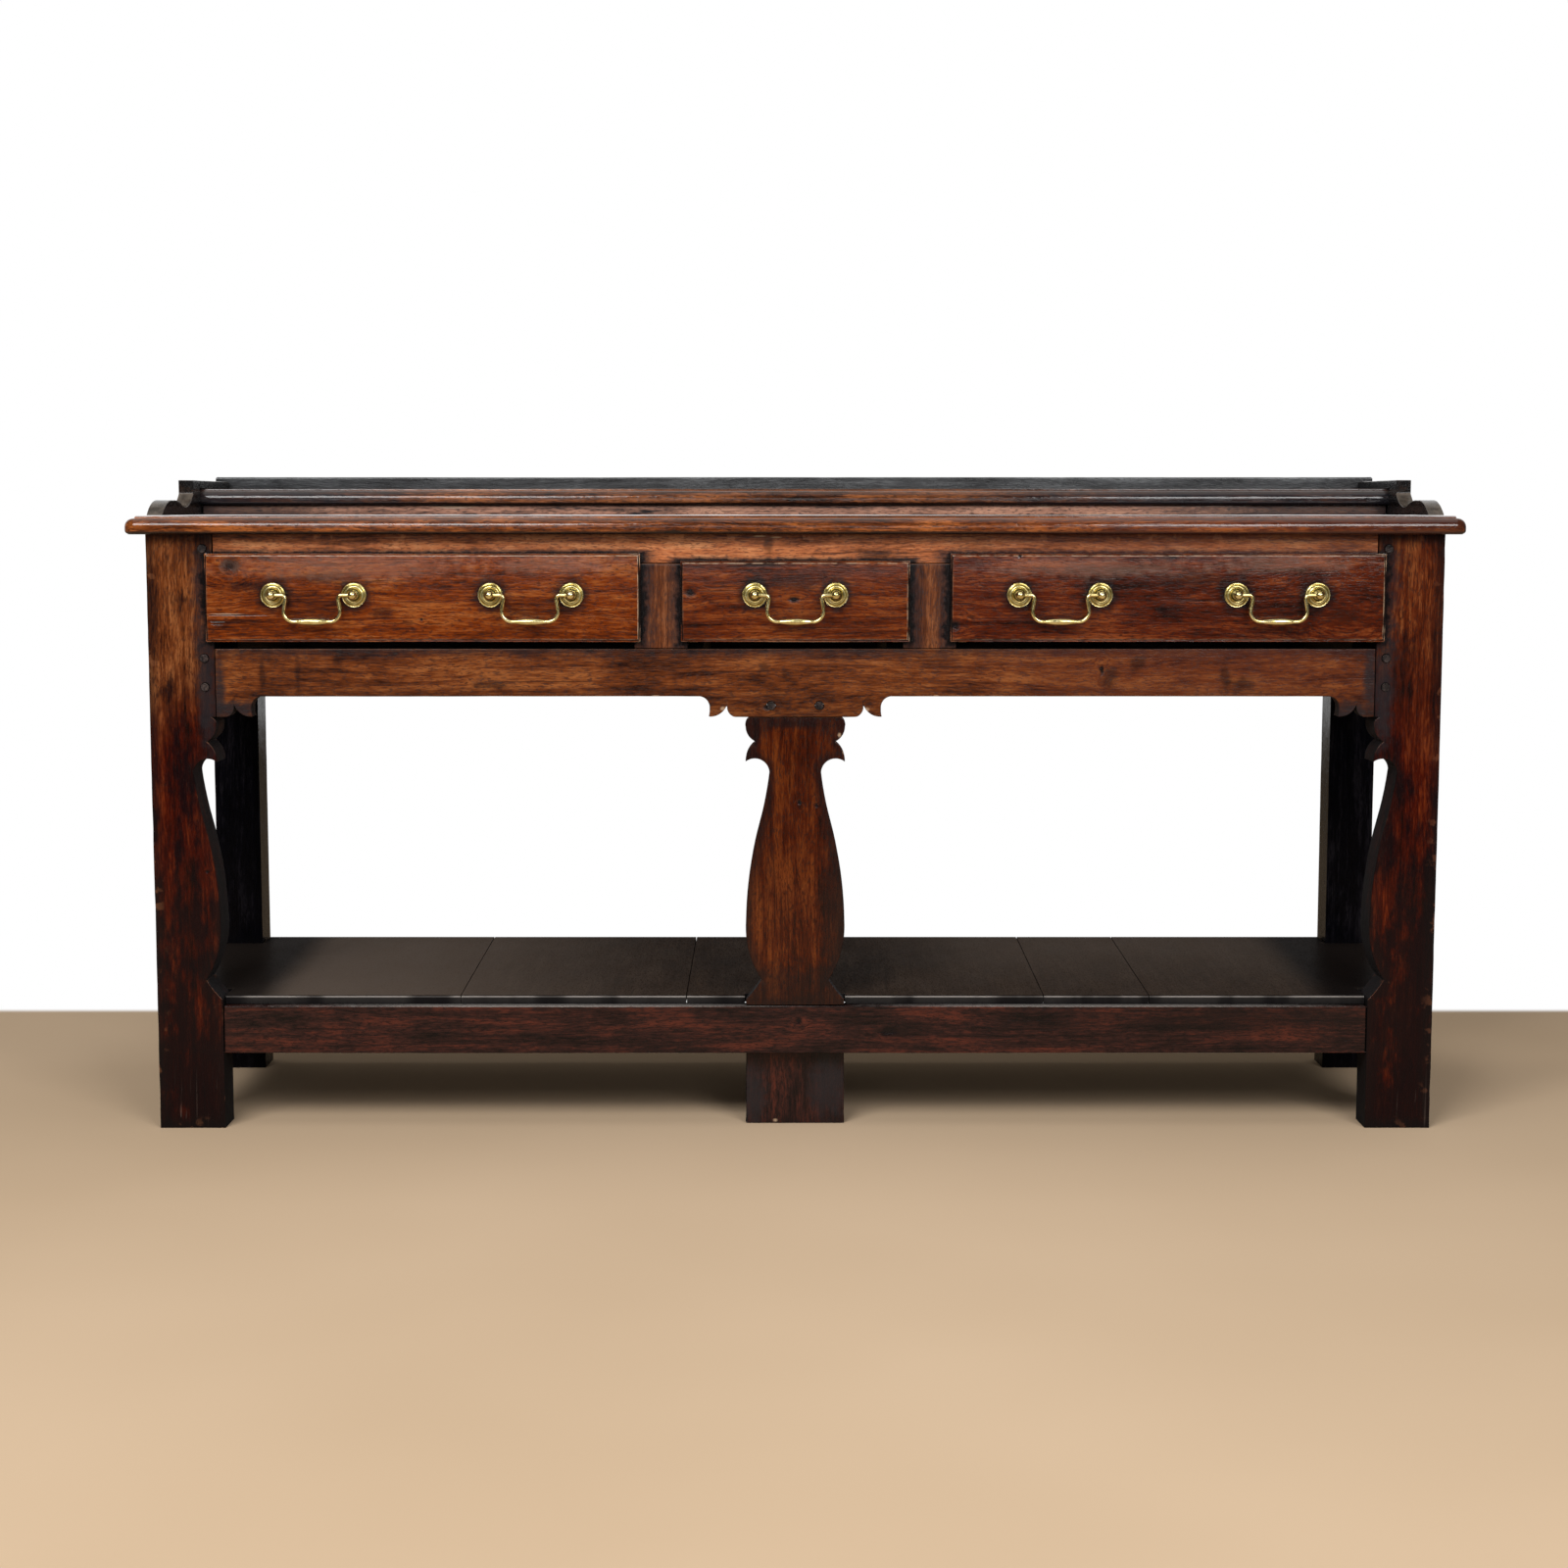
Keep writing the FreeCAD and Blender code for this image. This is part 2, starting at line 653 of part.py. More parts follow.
def moulded_board(name, x, y, z, plain):
    """A board with a quirked ovolo along its edges, except those on the plain sides."""
    body = new_body(name)
    slab_top = z[1] - s.quirk_height
    block(body, x, y, (z[0], slab_top))
    lines = {"left": x[0], "right": x[1], "front": y[0], "back": y[1]}

    def moulded(box):
        flat = {
            "left": near(box.XMax, x[0]), "right": near(box.XMin, x[1]),
            "front": near(box.YMax, y[0]), "back": near(box.YMin, y[1]),
        }
        return near(box.ZLength, 0) and not any(flat[side] for side in plain)

    if not plain & {"left", "right", "front"}:
        soften(body, s.corner_round, lambda box: near(box.ZMax, slab_top) and near(box.ZMin, z[0])
               and near(box.YMax, y[0]))
    soften(body, s.ovolo_radius, lambda box: moulded(box) and near(box.ZMin, slab_top))
    soften(body, s.underside_round, lambda box: moulded(box) and near(box.ZMax, z[0]))
    inset = s.ovolo_radius + s.quirk_width
    crown = {side: line if side in plain else line + inset * (1 if side in ("left", "front") else -1)
             for side, line in lines.items()}
    block(body, (crown["left"], crown["right"]), (crown["front"], crown["back"]), z)
    return node(body)


top_x = both_ways(half_frame + s.top_overhang)
top_back = back + s.back_overhang
shelf_front = front + s.shelf_front_depth
riser_y = (shelf_front + s.riser_setback, shelf_front + s.riser_setback + s.riser_thickness)
top_joint = riser_y[0] + s.riser_thickness / 2
top_z = (frame_top, s.top_height)
moulded_board("top_board_front", top_x, (front - s.top_overhang, top_joint), top_z, {"back"})
moulded_board("top_board_rear", top_x, (top_joint, top_back), top_z, {"front", "back"})

gallery_outer = half_frame - s.gallery_end_inset
gallery_inner = gallery_outer - s.gallery_end_thickness
gallery_back_front = top_back - s.gallery_back_thickness
shelf_bottom = s.top_height + s.riser_height
gallery_shelf_z = (shelf_bottom, shelf_bottom + s.shelf_thickness)
step = front + s.gallery_step_depth
gallery_profile = [
    (front, s.top_height),
    (gallery_back_front, s.top_height),
    (gallery_back_front, s.top_height + s.gallery_end_height),
    (step, s.top_height + s.gallery_end_height),
    (step, s.top_height + s.gallery_end_height * 0.62),
    (front + s.gallery_step_depth * 0.66, s.top_height + s.gallery_bump_height * 0.66),
    (front + s.gallery_bump_length, s.top_height + s.gallery_bump_height),
]
gallery_bulges = [0, 0, 0, 0, -0.12, 0.05, 0.1]
for name, sign in SIDES:
    end = new_body(f"gallery_end_{name}")
    inner, outer = on_side(sign, gallery_inner, gallery_outer)
    extrude(end, "YZ_Plane", inner, outer - inner, gallery_profile, gallery_bulges)
    housing_x = on_side(sign, gallery_inner, gallery_inner + s.shelf_housing)
    block(end, housing_x, (shelf_front, gallery_back_front), gallery_shelf_z, cut=True)
    node(end)

moulded_board("gallery_shelf", both_ways(gallery_inner + s.shelf_housing),
              (shelf_front, gallery_back_front), gallery_shelf_z, {"left", "right", "back"})

riser = new_body("gallery_riser")
block(riser, both_ways(gallery_inner), riser_y, (s.top_height, shelf_bottom))
node(riser)

gallery_back = new_body("gallery_back")
gallery_back_top = s.top_height + s.gallery_back_height
block(gallery_back, both_ways(gallery_outer), (gallery_back_front, top_back),
      (s.top_height, gallery_back_top))
soften(gallery_back, s.edge_wear * 2, lambda box: near(box.ZMin, gallery_back_top))
node(gallery_back)


# Drawer runners with their guides

drawer_bottom = apron_top + s.drawer_bottom_gap
runner_top = drawer_bottom - s.drawer_run_gap
runner_bottom = runner_top - s.runner_height
guide_top = runner_top + s.guide_height
ledge = s.runner_ledge
outer_runner = [
    (leg_edge - ledge, runner_bottom), (panel_inner, runner_bottom), (panel_inner, guide_top),
    (leg_edge, guide_top), (leg_edge, runner_top), (leg_edge - ledge, runner_top),
]
inner_runner = [
    (divider_inner - ledge, runner_bottom), (divider_outer + ledge, runner_bottom),
    (divider_outer + ledge, runner_top), (divider_outer, runner_top), (divider_outer, guide_top),
    (divider_inner, guide_top), (divider_inner, runner_top), (divider_inner - ledge, runner_top),
]
runner_plan = (
    ("outer", outer_runner, front_leg_back, rear_leg_front),
    ("inner", inner_runner, rail_back, back_panel_depth[0]),
)
for name, sign in SIDES:
    for place_name, profile, start, finish in runner_plan:
        runner = new_body(f"runner_{name}_{place_name}")
        outline = profile if sign > 0 else flipped(profile, [])[0]
        extrude(runner, "XZ_Plane", start, finish - start, outline)
        node(runner)


# Oak pegs of the tenon joints

def peg(x, z):
    pin = doc.addObject("Part::Cylinder", "peg")
    pin.Placement.Rotation = FreeCAD.Rotation(FreeCAD.Vector(1, 0, 0), -90)
    pin.setExpression("Radius", (s.peg_diameter / 2).formula)
    pin.setExpression("Height", (peg_reach[1] - peg_reach[0]).formula)
    place(pin, x, peg_reach[0], z)
    return pin


def group(name, members):
    compound = doc.addObject("Part::Compound", name)
    compound.Label = name
    compound.Links = members
    return node(compound)


group("joint_pegs", [peg(x * sign, z) for _, sign in SIDES for x, z in leg_pegs + splat_pegs])


# Brass of one handle, turned about the Y axis with the drawer face at zero

rosette = new_body("rosette_pattern")
rim = s.rosette_diameter / 2
rise = s.rosette_height
bore_radius = s.shank_diameter / 2 + s.shank_clearance
turned(rosette, [
    (0, bore_radius), (0, rim), (-rise * 0.24, rim), (-rise * 0.36, rim * 0.87), (-rise * 0.14, rim * 0.79),
    (-rise * 0.7, rim * 0.6), (-rise * 0.38, rim * 0.43), (-rise, rim * 0.32), (-rise, bore_radius),
], [0, 0, -0.25, 0, -0.3, 0.12, 0.1, 0, 0])

front_thickness = s.drawer_proud + s.drawer_stop_gap + s.drawer_block_depth
nut_y = (front_thickness, front_thickness + s.nut_height)
shank_end = nut_y[1] + s.shank_stand
neck = s.neck_diameter / 2
ball = s.ball_diameter / 2
shank = s.shank_diameter / 2
collar_top = rise + s.collar_height
post = new_body("post_pattern")
turned(post, [
    (shank_end, 0), (-s.post_reach - ball, 0),
    (-s.post_reach, ball), (-s.post_reach + ball * 0.859, neck), (-collar_top, s.collar_diameter / 2),
    (-rise, s.collar_diameter / 2), (-rise, shank), (shank_end, shank),
], [0, -0.2071, -0.13, 0.15, 0, 0, 0, 0])
pin_hole = post.newObject("PartDesign::SubtractiveCylinder", "pin_hole")
pin_hole.Placement.Rotation = FreeCAD.Rotation(FreeCAD.Vector(0, 1, 0), 90)
pin_hole.setExpression("Radius", (s.bail_wire / 2 + s.pin_clearance).formula)
pin_hole.setExpression("Height", (s.pin_depth + s.pin_end_gap).formula)
pin_start = ball - s.pin_depth
place(pin_hole, pin_start - s.pin_end_gap, -s.post_reach, 0)

nut = new_body("nut_pattern")
nut_half = s.nut_width / 2
block(nut, both_ways(nut_half), nut_y, both_ways(nut_half))
bore_along_y(nut, 0, nut_y, 0, s.shank_diameter)


def copy_of(pattern, x, y, z, turn=0):
    link = doc.addObject("App::Link", pattern.Name.replace("pattern", "copy"))
    link.setLink(pattern)
    link.Placement.Rotation = FreeCAD.Rotation(FreeCAD.Vector(0, 1, 0), turn)
    place(link, x, y, z)
    return link


# Drawers

drawer_face = front - s.drawer_stop_gap - s.drawer_proud
lip_back = front - s.drawer_stop_gap
block_back = front + s.drawer_block_depth
drawer_end = back_panel_depth[0] - s.drawer_back_gap
drawer_back_front = drawer_end - s.drawer_back_thickness
side_top = opening_top - s.drawer_headroom
floor_bottom = drawer_bottom + s.drawer_floor_lift
floor_z = (floor_bottom, floor_bottom + s.drawer_floor_thickness)
handle_z = drawer_bottom + s.handle_height


def dovetail_pins(root, tip, ease):
    """Outlines of the pins of one drawer corner seen from the side, wide at the root."""
    outlines = []
    for share in PIN_LEVELS:
        level = drawer_bottom + (side_top - drawer_bottom) * share
        wide = s.dovetail_root / 2 + ease
        narrow = s.dovetail_tip / 2 + ease
        over_tip, over_root = (narrow, wide) if share < 1 else (floor, floor)
        outlines.append([
            (root, level - wide), (tip, level - narrow), (tip, level + over_tip), (root, level + over_root),
        ])
    return outlines


def drawer(name, opening, front_height, handle_centers):
    """Boards and handle brass of one drawer that fills the opening between two values of X."""
    outside = (opening[0] + s.drawer_slip, opening[1] - s.drawer_slip)
    inside = (outside[0] + s.drawer_side_thickness, outside[1] - s.drawer_side_thickness)
    groove_z = eased(floor_z, s.joint_clearance)
    posts = [(center + s.post_spacing / 2 * way, way) for center in handle_centers for way in (-1, 1)]
    side_boards = (
        ("left", (outside[0], inside[0]), (inside[0] - s.drawer_groove_depth, inside[0])),
        ("right", (inside[1], outside[1]), (inside[1], inside[1] + s.drawer_groove_depth)),
    )

    face = new_body(f"drawer_{name}_front")
    lip_x = (opening[0] - s.drawer_lip, opening[1] + s.drawer_lip)
    block(face, lip_x, (drawer_face, lip_back), (drawer_bottom, drawer_bottom + front_height))
    soften(face, s.drawer_front_round, lambda box: near(box.YMax, drawer_face))
    block(face, inside, (lip_back, block_back), (drawer_bottom, side_top))
    block(face, inside, (block_back - s.drawer_groove_depth, block_back), groove_z, cut=True)
    for x, _ in posts:
        bore_along_y(face, x, (drawer_face, block_back), handle_z, s.shank_diameter + s.shank_clearance * 2)
    for _, side_x, _ in side_boards:
        bars_along_x(face, side_x, dovetail_pins(block_back, lip_back, floor))
    node(face)

    ease = s.joint_clearance
    for side, side_x, groove_x in side_boards:
        board = new_body(f"drawer_{name}_side_{side}")
        block(board, side_x, (lip_back, drawer_end), (drawer_bottom, side_top))
        block(board, groove_x, (lip_back, drawer_end), groove_z, cut=True)
        bars_along_x(board, side_x, dovetail_pins(block_back + ease, lip_back, ease), cut=True)
        bars_along_x(board, side_x, dovetail_pins(drawer_back_front - ease, drawer_end, ease), cut=True)
        node(board)

    rear = new_body(f"drawer_{name}_back")
    block(rear, inside, (drawer_back_front, drawer_end), (floor_z[1], side_top))
    for _, side_x, _ in side_boards:
        bars_along_x(rear, side_x, dovetail_pins(drawer_back_front, drawer_end, floor))
    node(rear)

    base = new_body(f"drawer_{name}_bottom")
    reach = s.drawer_groove_depth - s.joint_clearance
    block(base, eased(inside, reach), (block_back - reach, drawer_end), floor_z)
    node(base)

    group(f"drawer_{name}_rosettes", [copy_of(rosette, x, drawer_face, handle_z) for x, _ in posts])
    bolts = [copy_of(post, x, drawer_face, handle_z, 90 + 90 * way) for x, way in posts]
    nuts = [copy_of(nut, x, drawer_face, handle_z) for x, _ in posts]
    group(f"drawer_{name}_handle_bolts", bolts + nuts)


def bail(name, center):
    """A swan-neck bail: pins, S-bent legs and a bar that swells to a grip."""
    body = new_body(f"bail_{name}")
    sine = math.sin(BEND_TURN)
    fall = 1 - math.cos(BEND_TURN)
    pin = s.post_spacing / 2 - pin_start
    bend = s.post_spacing / 2 - s.bail_inset
    upper = s.bail_upper_bend
    lower = s.bail_lower_bend
    straight = (s.bail_drop - (upper + lower) * fall) / sine
    lean = straight * math.cos(BEND_TURN)
    half = [
        (pin, floor),
        (bend, floor),
        (bend - upper * sine, -upper * fall),
        (bend - upper * sine - lean, -upper * fall - straight * sine),
        (bend - upper * sine - lean - lower * sine, -s.bail_drop),
    ]
    half_bulges = [0, BEND_BULGE, 0, -BEND_BULGE]
    other, other_bulges = flipped(half, half_bulges)
    points = [*half, *other]
    bulges = [*half_bulges, 0, *other_bulges]
    pivot_y = drawer_face - s.post_reach
    path = sketch_on(body, "XZ_Plane", pivot_y, across=center, up=handle_z)
    draw(path, points, bulges)
    section = sketch_on(body, "YZ_Plane", center + pin, across=pivot_y, up=handle_z)
    wire = Part.Circle(FreeCAD.Vector(0, 0, 0), FreeCAD.Vector(0, 0, 1), s.bail_wire.value / 2)
    section.addGeometry(wire, False)
    section.addConstraint(Sketcher.Constraint("Coincident", 0, 3, -1, 1))
    section.addConstraint(Sketcher.Constraint("Radius", 0, s.bail_wire.value / 2))
    section.setExpression("Constraints[1]", (s.bail_wire / 2).formula)
    pipe = body.newObject("PartDesign::AdditivePipe", f"{body.Name}_bar")
    pipe.Profile = section
    pipe.Spine = (path, [f"Edge{i}" for i in range(1, len(bulges) + 1)])
    swell = sketch_on(body, "XZ_Plane", pivot_y, across=center, up=handle_z - s.bail_drop)
    grip = s.grip_diameter / s.grip_length / 2
    swell_points = [(-s.grip_length / 2, floor), (s.grip_length / 2, floor)]
    draw(swell, swell_points, [0, grip.value])
    turning = body.newObject("PartDesign::Revolution", f"{body.Name}_grip")
    turning.Profile = swell
    turning.ReferenceAxis = (swell, ["H_Axis"])
    turning.Angle = 360
    node(body)


side_center = (divider_outer + leg_edge) / 2
drawer("left", (-leg_edge, -divider_outer), s.side_drawer_height,
       [-side_center - s.handle_offset, -side_center + s.handle_offset])
drawer("center", both_ways(divider_inner), s.center_drawer_height, [floor])
drawer("right", (divider_outer, leg_edge), s.side_drawer_height,
       [side_center - s.handle_offset, side_center + s.handle_offset])
bail("left_1", -side_center - s.handle_offset)
bail("left_2", -side_center + s.handle_offset)
bail("center", floor)
bail("right_1", side_center - s.handle_offset)
bail("right_2", side_center + s.handle_offset)

doc.recompute()
for thing in doc.Objects:
    if {"Invalid", "Error"} & set(thing.State):
        raise RuntimeError(f"{thing.Label} could not be built: {thing.State}")

os.makedirs("parts", exist_ok=True)
for thing in nodes:
    shape = thing.Shape
    if shape.isNull() or not shape.isValid() or not shape.Solids:
        raise RuntimeError(f"{thing.Label} has no valid solid")
    shape.exportStep(f"parts/{thing.Label}.step")
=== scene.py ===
import json
import math
import random
from collections import namedtuple

import bmesh
import bpy
from mathutils import Matrix, Vector, noise
from mathutils.kdtree import KDTree


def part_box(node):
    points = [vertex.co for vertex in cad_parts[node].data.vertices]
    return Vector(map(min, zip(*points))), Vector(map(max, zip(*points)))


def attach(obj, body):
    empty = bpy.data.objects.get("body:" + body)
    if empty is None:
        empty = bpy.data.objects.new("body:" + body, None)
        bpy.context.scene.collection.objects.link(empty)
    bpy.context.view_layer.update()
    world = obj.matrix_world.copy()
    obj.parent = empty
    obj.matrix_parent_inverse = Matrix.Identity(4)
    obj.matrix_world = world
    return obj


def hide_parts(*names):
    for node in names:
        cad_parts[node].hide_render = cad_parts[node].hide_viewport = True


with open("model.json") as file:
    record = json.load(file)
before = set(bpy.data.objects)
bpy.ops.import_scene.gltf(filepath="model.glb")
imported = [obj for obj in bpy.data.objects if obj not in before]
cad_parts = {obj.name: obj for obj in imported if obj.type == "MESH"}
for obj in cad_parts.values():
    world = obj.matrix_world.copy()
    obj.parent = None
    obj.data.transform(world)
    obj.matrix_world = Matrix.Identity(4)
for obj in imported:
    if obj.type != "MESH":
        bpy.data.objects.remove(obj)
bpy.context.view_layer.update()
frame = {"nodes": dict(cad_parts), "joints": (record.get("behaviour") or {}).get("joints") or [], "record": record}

RECORD = frame["record"]
BODY_OF = {node: body for body, nodes in RECORD["behaviour"]["bodies"].items() for node in nodes}
SLOT_OF = {part["node"]: part["material_slot"] for part in RECORD["subparts"]}
SCENE = bpy.context.scene
MM = 0.001

# Colours laid over the oak
# Black wax of blots, knots and cracks, also laid as painted shade and painted shadow
BLACK_WAX_AND_SHADE = (0.004, 0.0035, 0.004)
GREY_GRIME = (0.0075, 0.0045, 0.0045)
BLUE_GRIME = (0.018, 0.015, 0.017)
BLUE_BLACK = (0.010, 0.010, 0.013)
# Soot, also laid as painted shade that darkens the lower parts
SOOT_AND_SHADE_RED = (0.0045, 0.0018, 0.0026)
DARK_RED = (0.030, 0.007, 0.003)
RED_WASH = (0.095, 0.022, 0.013)
# Painted sheen along the upper parts of the drawers
PAINTED_SHEEN = (0.30, 0.155, 0.105)
# Bare oak of chips, also laid as painted glints on the drawers' lips
BARE_OAK_AND_GLINT = (0.42, 0.29, 0.19)
# Painted reflection on the pot shelf
SHELF_REFLECTION = (0.105, 0.078, 0.060)
PALE_SCRATCH = (0.16, 0.12, 0.10)
# Painted highlight lines on the shelf nose and the stretcher's top arris
PAINTED_HIGHLIGHT_LINE = (0.215, 0.195, 0.180)
# Dust, also laid as painted sheen on upward slopes of the top's moulding
DUST_AND_SHEEN = (0.15, 0.120, 0.092)

# Ramps of colour from the dark to the bright parts of a pattern
DRY_BACK = ((0.36, (0.028, 0.016, 0.009)), (0.50, (0.13, 0.078, 0.045)), (0.64, (0.25, 0.165, 0.104)))
WAXED_END = ((0.38, (0.018, 0.005, 0.002)), (0.50, (0.110, 0.027, 0.008)), (0.62, (0.26, 0.088, 0.028)))
EMBERS = ((0.40, (0.007, 0.002, 0.0015)), (0.52, (0.046, 0.0044, 0.0014)), (0.64, (0.145, 0.024, 0.005)))
BRASS_TONES = ((0.3, (0.58, 0.46, 0.17)), (0.5, (0.75, 0.63, 0.28)), (0.7, (0.88, 0.79, 0.45)))
BRASS_DIRT = (0.055, 0.050, 0.012)
FLOOR_TONES = ((0.35, (0.56, 0.41, 0.27)), (0.65, (0.62, 0.46, 0.31)))
WHITE = (1, 1, 1)
WARM_WHITE = (1.0, 0.98, 0.95)

# Places and sizes on the frame
DRAWER_FACES = [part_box(f"drawer_{side}_front") for side in ("left", "center", "right")]
RESTING_HEIGHTS = (0.0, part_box("front_leg_left")[1][2])
LEG_OUTER_X = 0.875
POST_OFFSET = 54.5 * MM
ROSETTE_GROOVES = ((13.0 * MM, 0.9 * MM), (7.1 * MM, 1.4 * MM))

# Where a layer of the oak begins and where it is full, in metres
# The lower parts turn red, then nearly black: soot and painted shade
EMBER_HEIGHT = (0.72, 0.50)
END_SOOT_AND_SHADE_HEIGHT = (0.60, 0.10)
SCRATCH_HEIGHT = (0.10, 0.0)
DRAWER_GRIME_GAP = (26 * MM, 4 * MM)
# Painted shadow of the drawer lips, black right beside the drawers
DRAWER_SHADOW_GAP = (9 * MM, 1 * MM)
ROSETTE_GRIME_GAP = (31 * MM, 15 * MM)
# Painted shadow low on the moulding
MOULDING_SHADOW_LINE = (5.0 * MM, 2.0 * MM)
# Painted reflection on the shelf, and painted shade beside the legs
SHELF_REFLECTION_X = (-0.10, -0.66)
SHELF_BACK_REFLECTION_X = (0.06, 0.30)
SHELF_BACK_REFLECTION_Y = (-0.20, 0.22)
SHELF_SHADE_X = (0.69, 0.75)
FRETTED_X = (LEG_OUTER_X - 7 * MM, LEG_OUTER_X - 15 * MM)

# Patterns of the oak: waves per metre along the grain and across it, detail and roughness
PATTERNS = {
    "slow": (1.8, 8, 3.0, 0.5),
    "bands": (4, 110, 4.0, 0.6),
    "strands": (50, 400, 2.0, 0.6),
    "pores": (130, 620, 1.0, 0.5),
    "checks": (4, 330, 1.0, 0.5),
    "patches": (8, 21, 5.0, 0.6),
    "blots": (9, 22, 5.0, 0.65),
    # The soot pattern also shapes the painted shade near the floor
    "soot": (12, 34, 5.0, 0.65),
    "scratches": (5, 260, 2.0, 0.5),
    "dents": (22, 50, 3.0, 0.55),
    "haze": (11, 18, 4.0, 0.6),
    "ragged": (75, 75, 4.0, 0.65),
    "chips": (60, 60, 3.0, 0.5),
    "lengths": (16, 1, 3.0, 0.5),
}
KNOT_FADE = -0.25
KNOT_PUSH = -0.8
GRAIN_SHIFT = 5

# Wear of the meshes: sizes in metres, noises in waves per metre
CELL = 0.018
WELD = 0.01 * MM
FLAT_ANGLE = math.radians(1)
SHARP_ANGLE = math.radians(28)
ARRIS_TURN = 0.97
DRAWER_CROWN = 1.6 * MM
DENT_SHARE = 0.4
NICK_SHARE = 2.2
DISH_WAVES = 4.0
DENT_WAVES = 26.0
NICK_WAVES = 60.0
WEAR_SHIFT = 9
EDGE_SHADE_REACH = 30 * MM
HIDDEN_ARRIS = 0.6 * MM
PEG_ARRIS = 0.5 * MM
HIDDEN_ANGLE = math.radians(40)


# Short calls for building shader nodes

class Graph:
    """Builds the nodes of one material or world."""

    def __init__(self, tree):
        self.tree = tree
        tree.nodes.clear()

    def put(self, kind, feeds=None, **settings):
        node = self.tree.nodes.new("ShaderNode" + kind)
        for name, value in settings.items():
            setattr(node, name, value)
        for key, value in (feeds or {}).items():
            self.feed(node.inputs[key], value)
        return node

    def feed(self, socket, value):
        if isinstance(value, bpy.types.NodeSocket):
            self.tree.links.new(value, socket)
        elif socket.type == "RGBA":
            socket.default_value = (*value, 1.0)
        else:
            socket.default_value = value

    def math(self, operation, a, b=0.0):
        return self.put("Math", {0: a, 1: b}, operation=operation).outputs[0]

    def times(self, a, b):
        return self.math("MULTIPLY", a, b)

    def blend(self, *shares):
        """Adds up values, each times its share."""
        total = 0.0
        for value, share in shares:
            total = self.put("Math", {0: value, 1: share, 2: total}, operation="MULTIPLY_ADD").outputs[0]
        return total

    def fray(self, value, wobble, amount):
        """Moves a value to and fro with a noise, so that what ends there ends uneven."""
        return self.blend((value, 1.0), (wobble, amount), (1.0, -0.5 * amount))

    def split(self, vector):
        return self.put("SeparateXYZ", {0: vector}).outputs[:]

    def join(self, x, y, z):
        return self.put("CombineXYZ", {0: x, 1: y, 2: z}).outputs[0]

    def distance(self, across, up, x=0.0, z=0.0):
        """Distance from a place, measured in the plane of the front."""
        feeds = {0: self.join(across, 0.0, up), 1: (x, 0.0, z)}
        return self.put("VectorMath", feeds, operation="DISTANCE").outputs["Value"]

    def noise(self, vector, along, across, detail=3.0, rough=0.5):
        """Noise with so many waves per metre along the first axis and across it."""
        spread = self.put("Mapping", {"Vector": vector, "Scale": (along, across, across)}).outputs[0]
        feeds = {"Vector": spread, "Scale": 1.0, "Detail": detail, "Roughness": rough}
        return self.put("TexNoise", feeds).outputs[0]

    def step(self, value, low, high, start=0.0, end=1.0):
        """Eases from start to end while the value goes from low to high."""
        feeds = {0: value, 1: low, 2: high, 3: start, 4: end}
        return self.put("MapRange", feeds, interpolation_type="SMOOTHSTEP").outputs[0]

    def mix(self, factor, a, b):
        node = self.put("Mix", data_type="RGBA")
        for index, value in ((0, factor), (6, a), (7, b)):
            self.feed(node.inputs[index], value)
        return node.outputs[2]

    def ramp(self, value, stops):
        node = self.put("ValToRGB", {0: value})
        elements = node.color_ramp.elements
        while len(elements) < len(stops):
            elements.new(0.5)
        for element, (position, colour) in zip(elements, stops):
            element.position = position
            element.color = (*colour, 1.0)
        return node.outputs[0]

    def surface(self, shader):
        self.put("OutputMaterial", {"Surface": shader.outputs[0]})


def new_material(name):
    material = bpy.data.materials.new(name)
    material.use_nodes = True
    return material


# Finishes of the oak

PLAIN_WAX = {
    "rough": 0.17,  # roughness of clean wax
    "shine": 0.2,  # strength of its reflection
    "coat": 0.0,  # share of clear polish
    "spread": 0.105,  # range of the figure: the smaller, the stronger its contrast
    "stain": 0.5,  # share of the black blots
    "grime": 0.9,  # share of the dirt and painted shade in corners
    "edge": 0.6,  # share of the wear and painted highlight on arrises
    "edge_shade": 0.0,  # share of the darkening towards the edges
    "relief": 0.3,  # strength of the bump
    "dust": 0.0,  # share of the dust and painted sheen
    "dust_from": 0.15,  # upward turn of a face on which dust and painted sheen begin
    "fret": 0.0,  # roughness added on fretted edges
    "raw": False,  # back left dry, outer end polished
    "soot_and_shade": False,  # nearly black towards the floor: soot and painted shade
    "gaps": False,  # dirt and painted shadow round the drawers
    "lipped": False,  # front of a drawer
    "moulded": False,  # painted shadow low on the moulding
    "shelf": False,  # board of the pot shelf, with painted reflection, shade and highlight
    "bevel": 1.2 * MM,  # rounding of the arrises
    "wear": 0.9 * MM,  # depth of the dishing
}
LEG = {"soot_and_shade": True, "gaps": True, "fret": 0.7, "edge_shade": 0.35, "shine": 0.12}
DRAWER = {"lipped": True, "shine": 0.1, "coat": 0.3}
POLISHED = {"moulded": True, "spread": 0.10, "stain": 0.7, "shine": 0.03, "coat": 0.7, "relief": 0.22,
            "dust": 0.12, "dust_from": 0.55}


def finish(deep, body, bright, **changes):
    """The dark, middle and bright colours of a board, and where it differs from plain wax."""
    return {"deep": deep, "body": body, "bright": bright, **PLAIN_WAX, **changes}


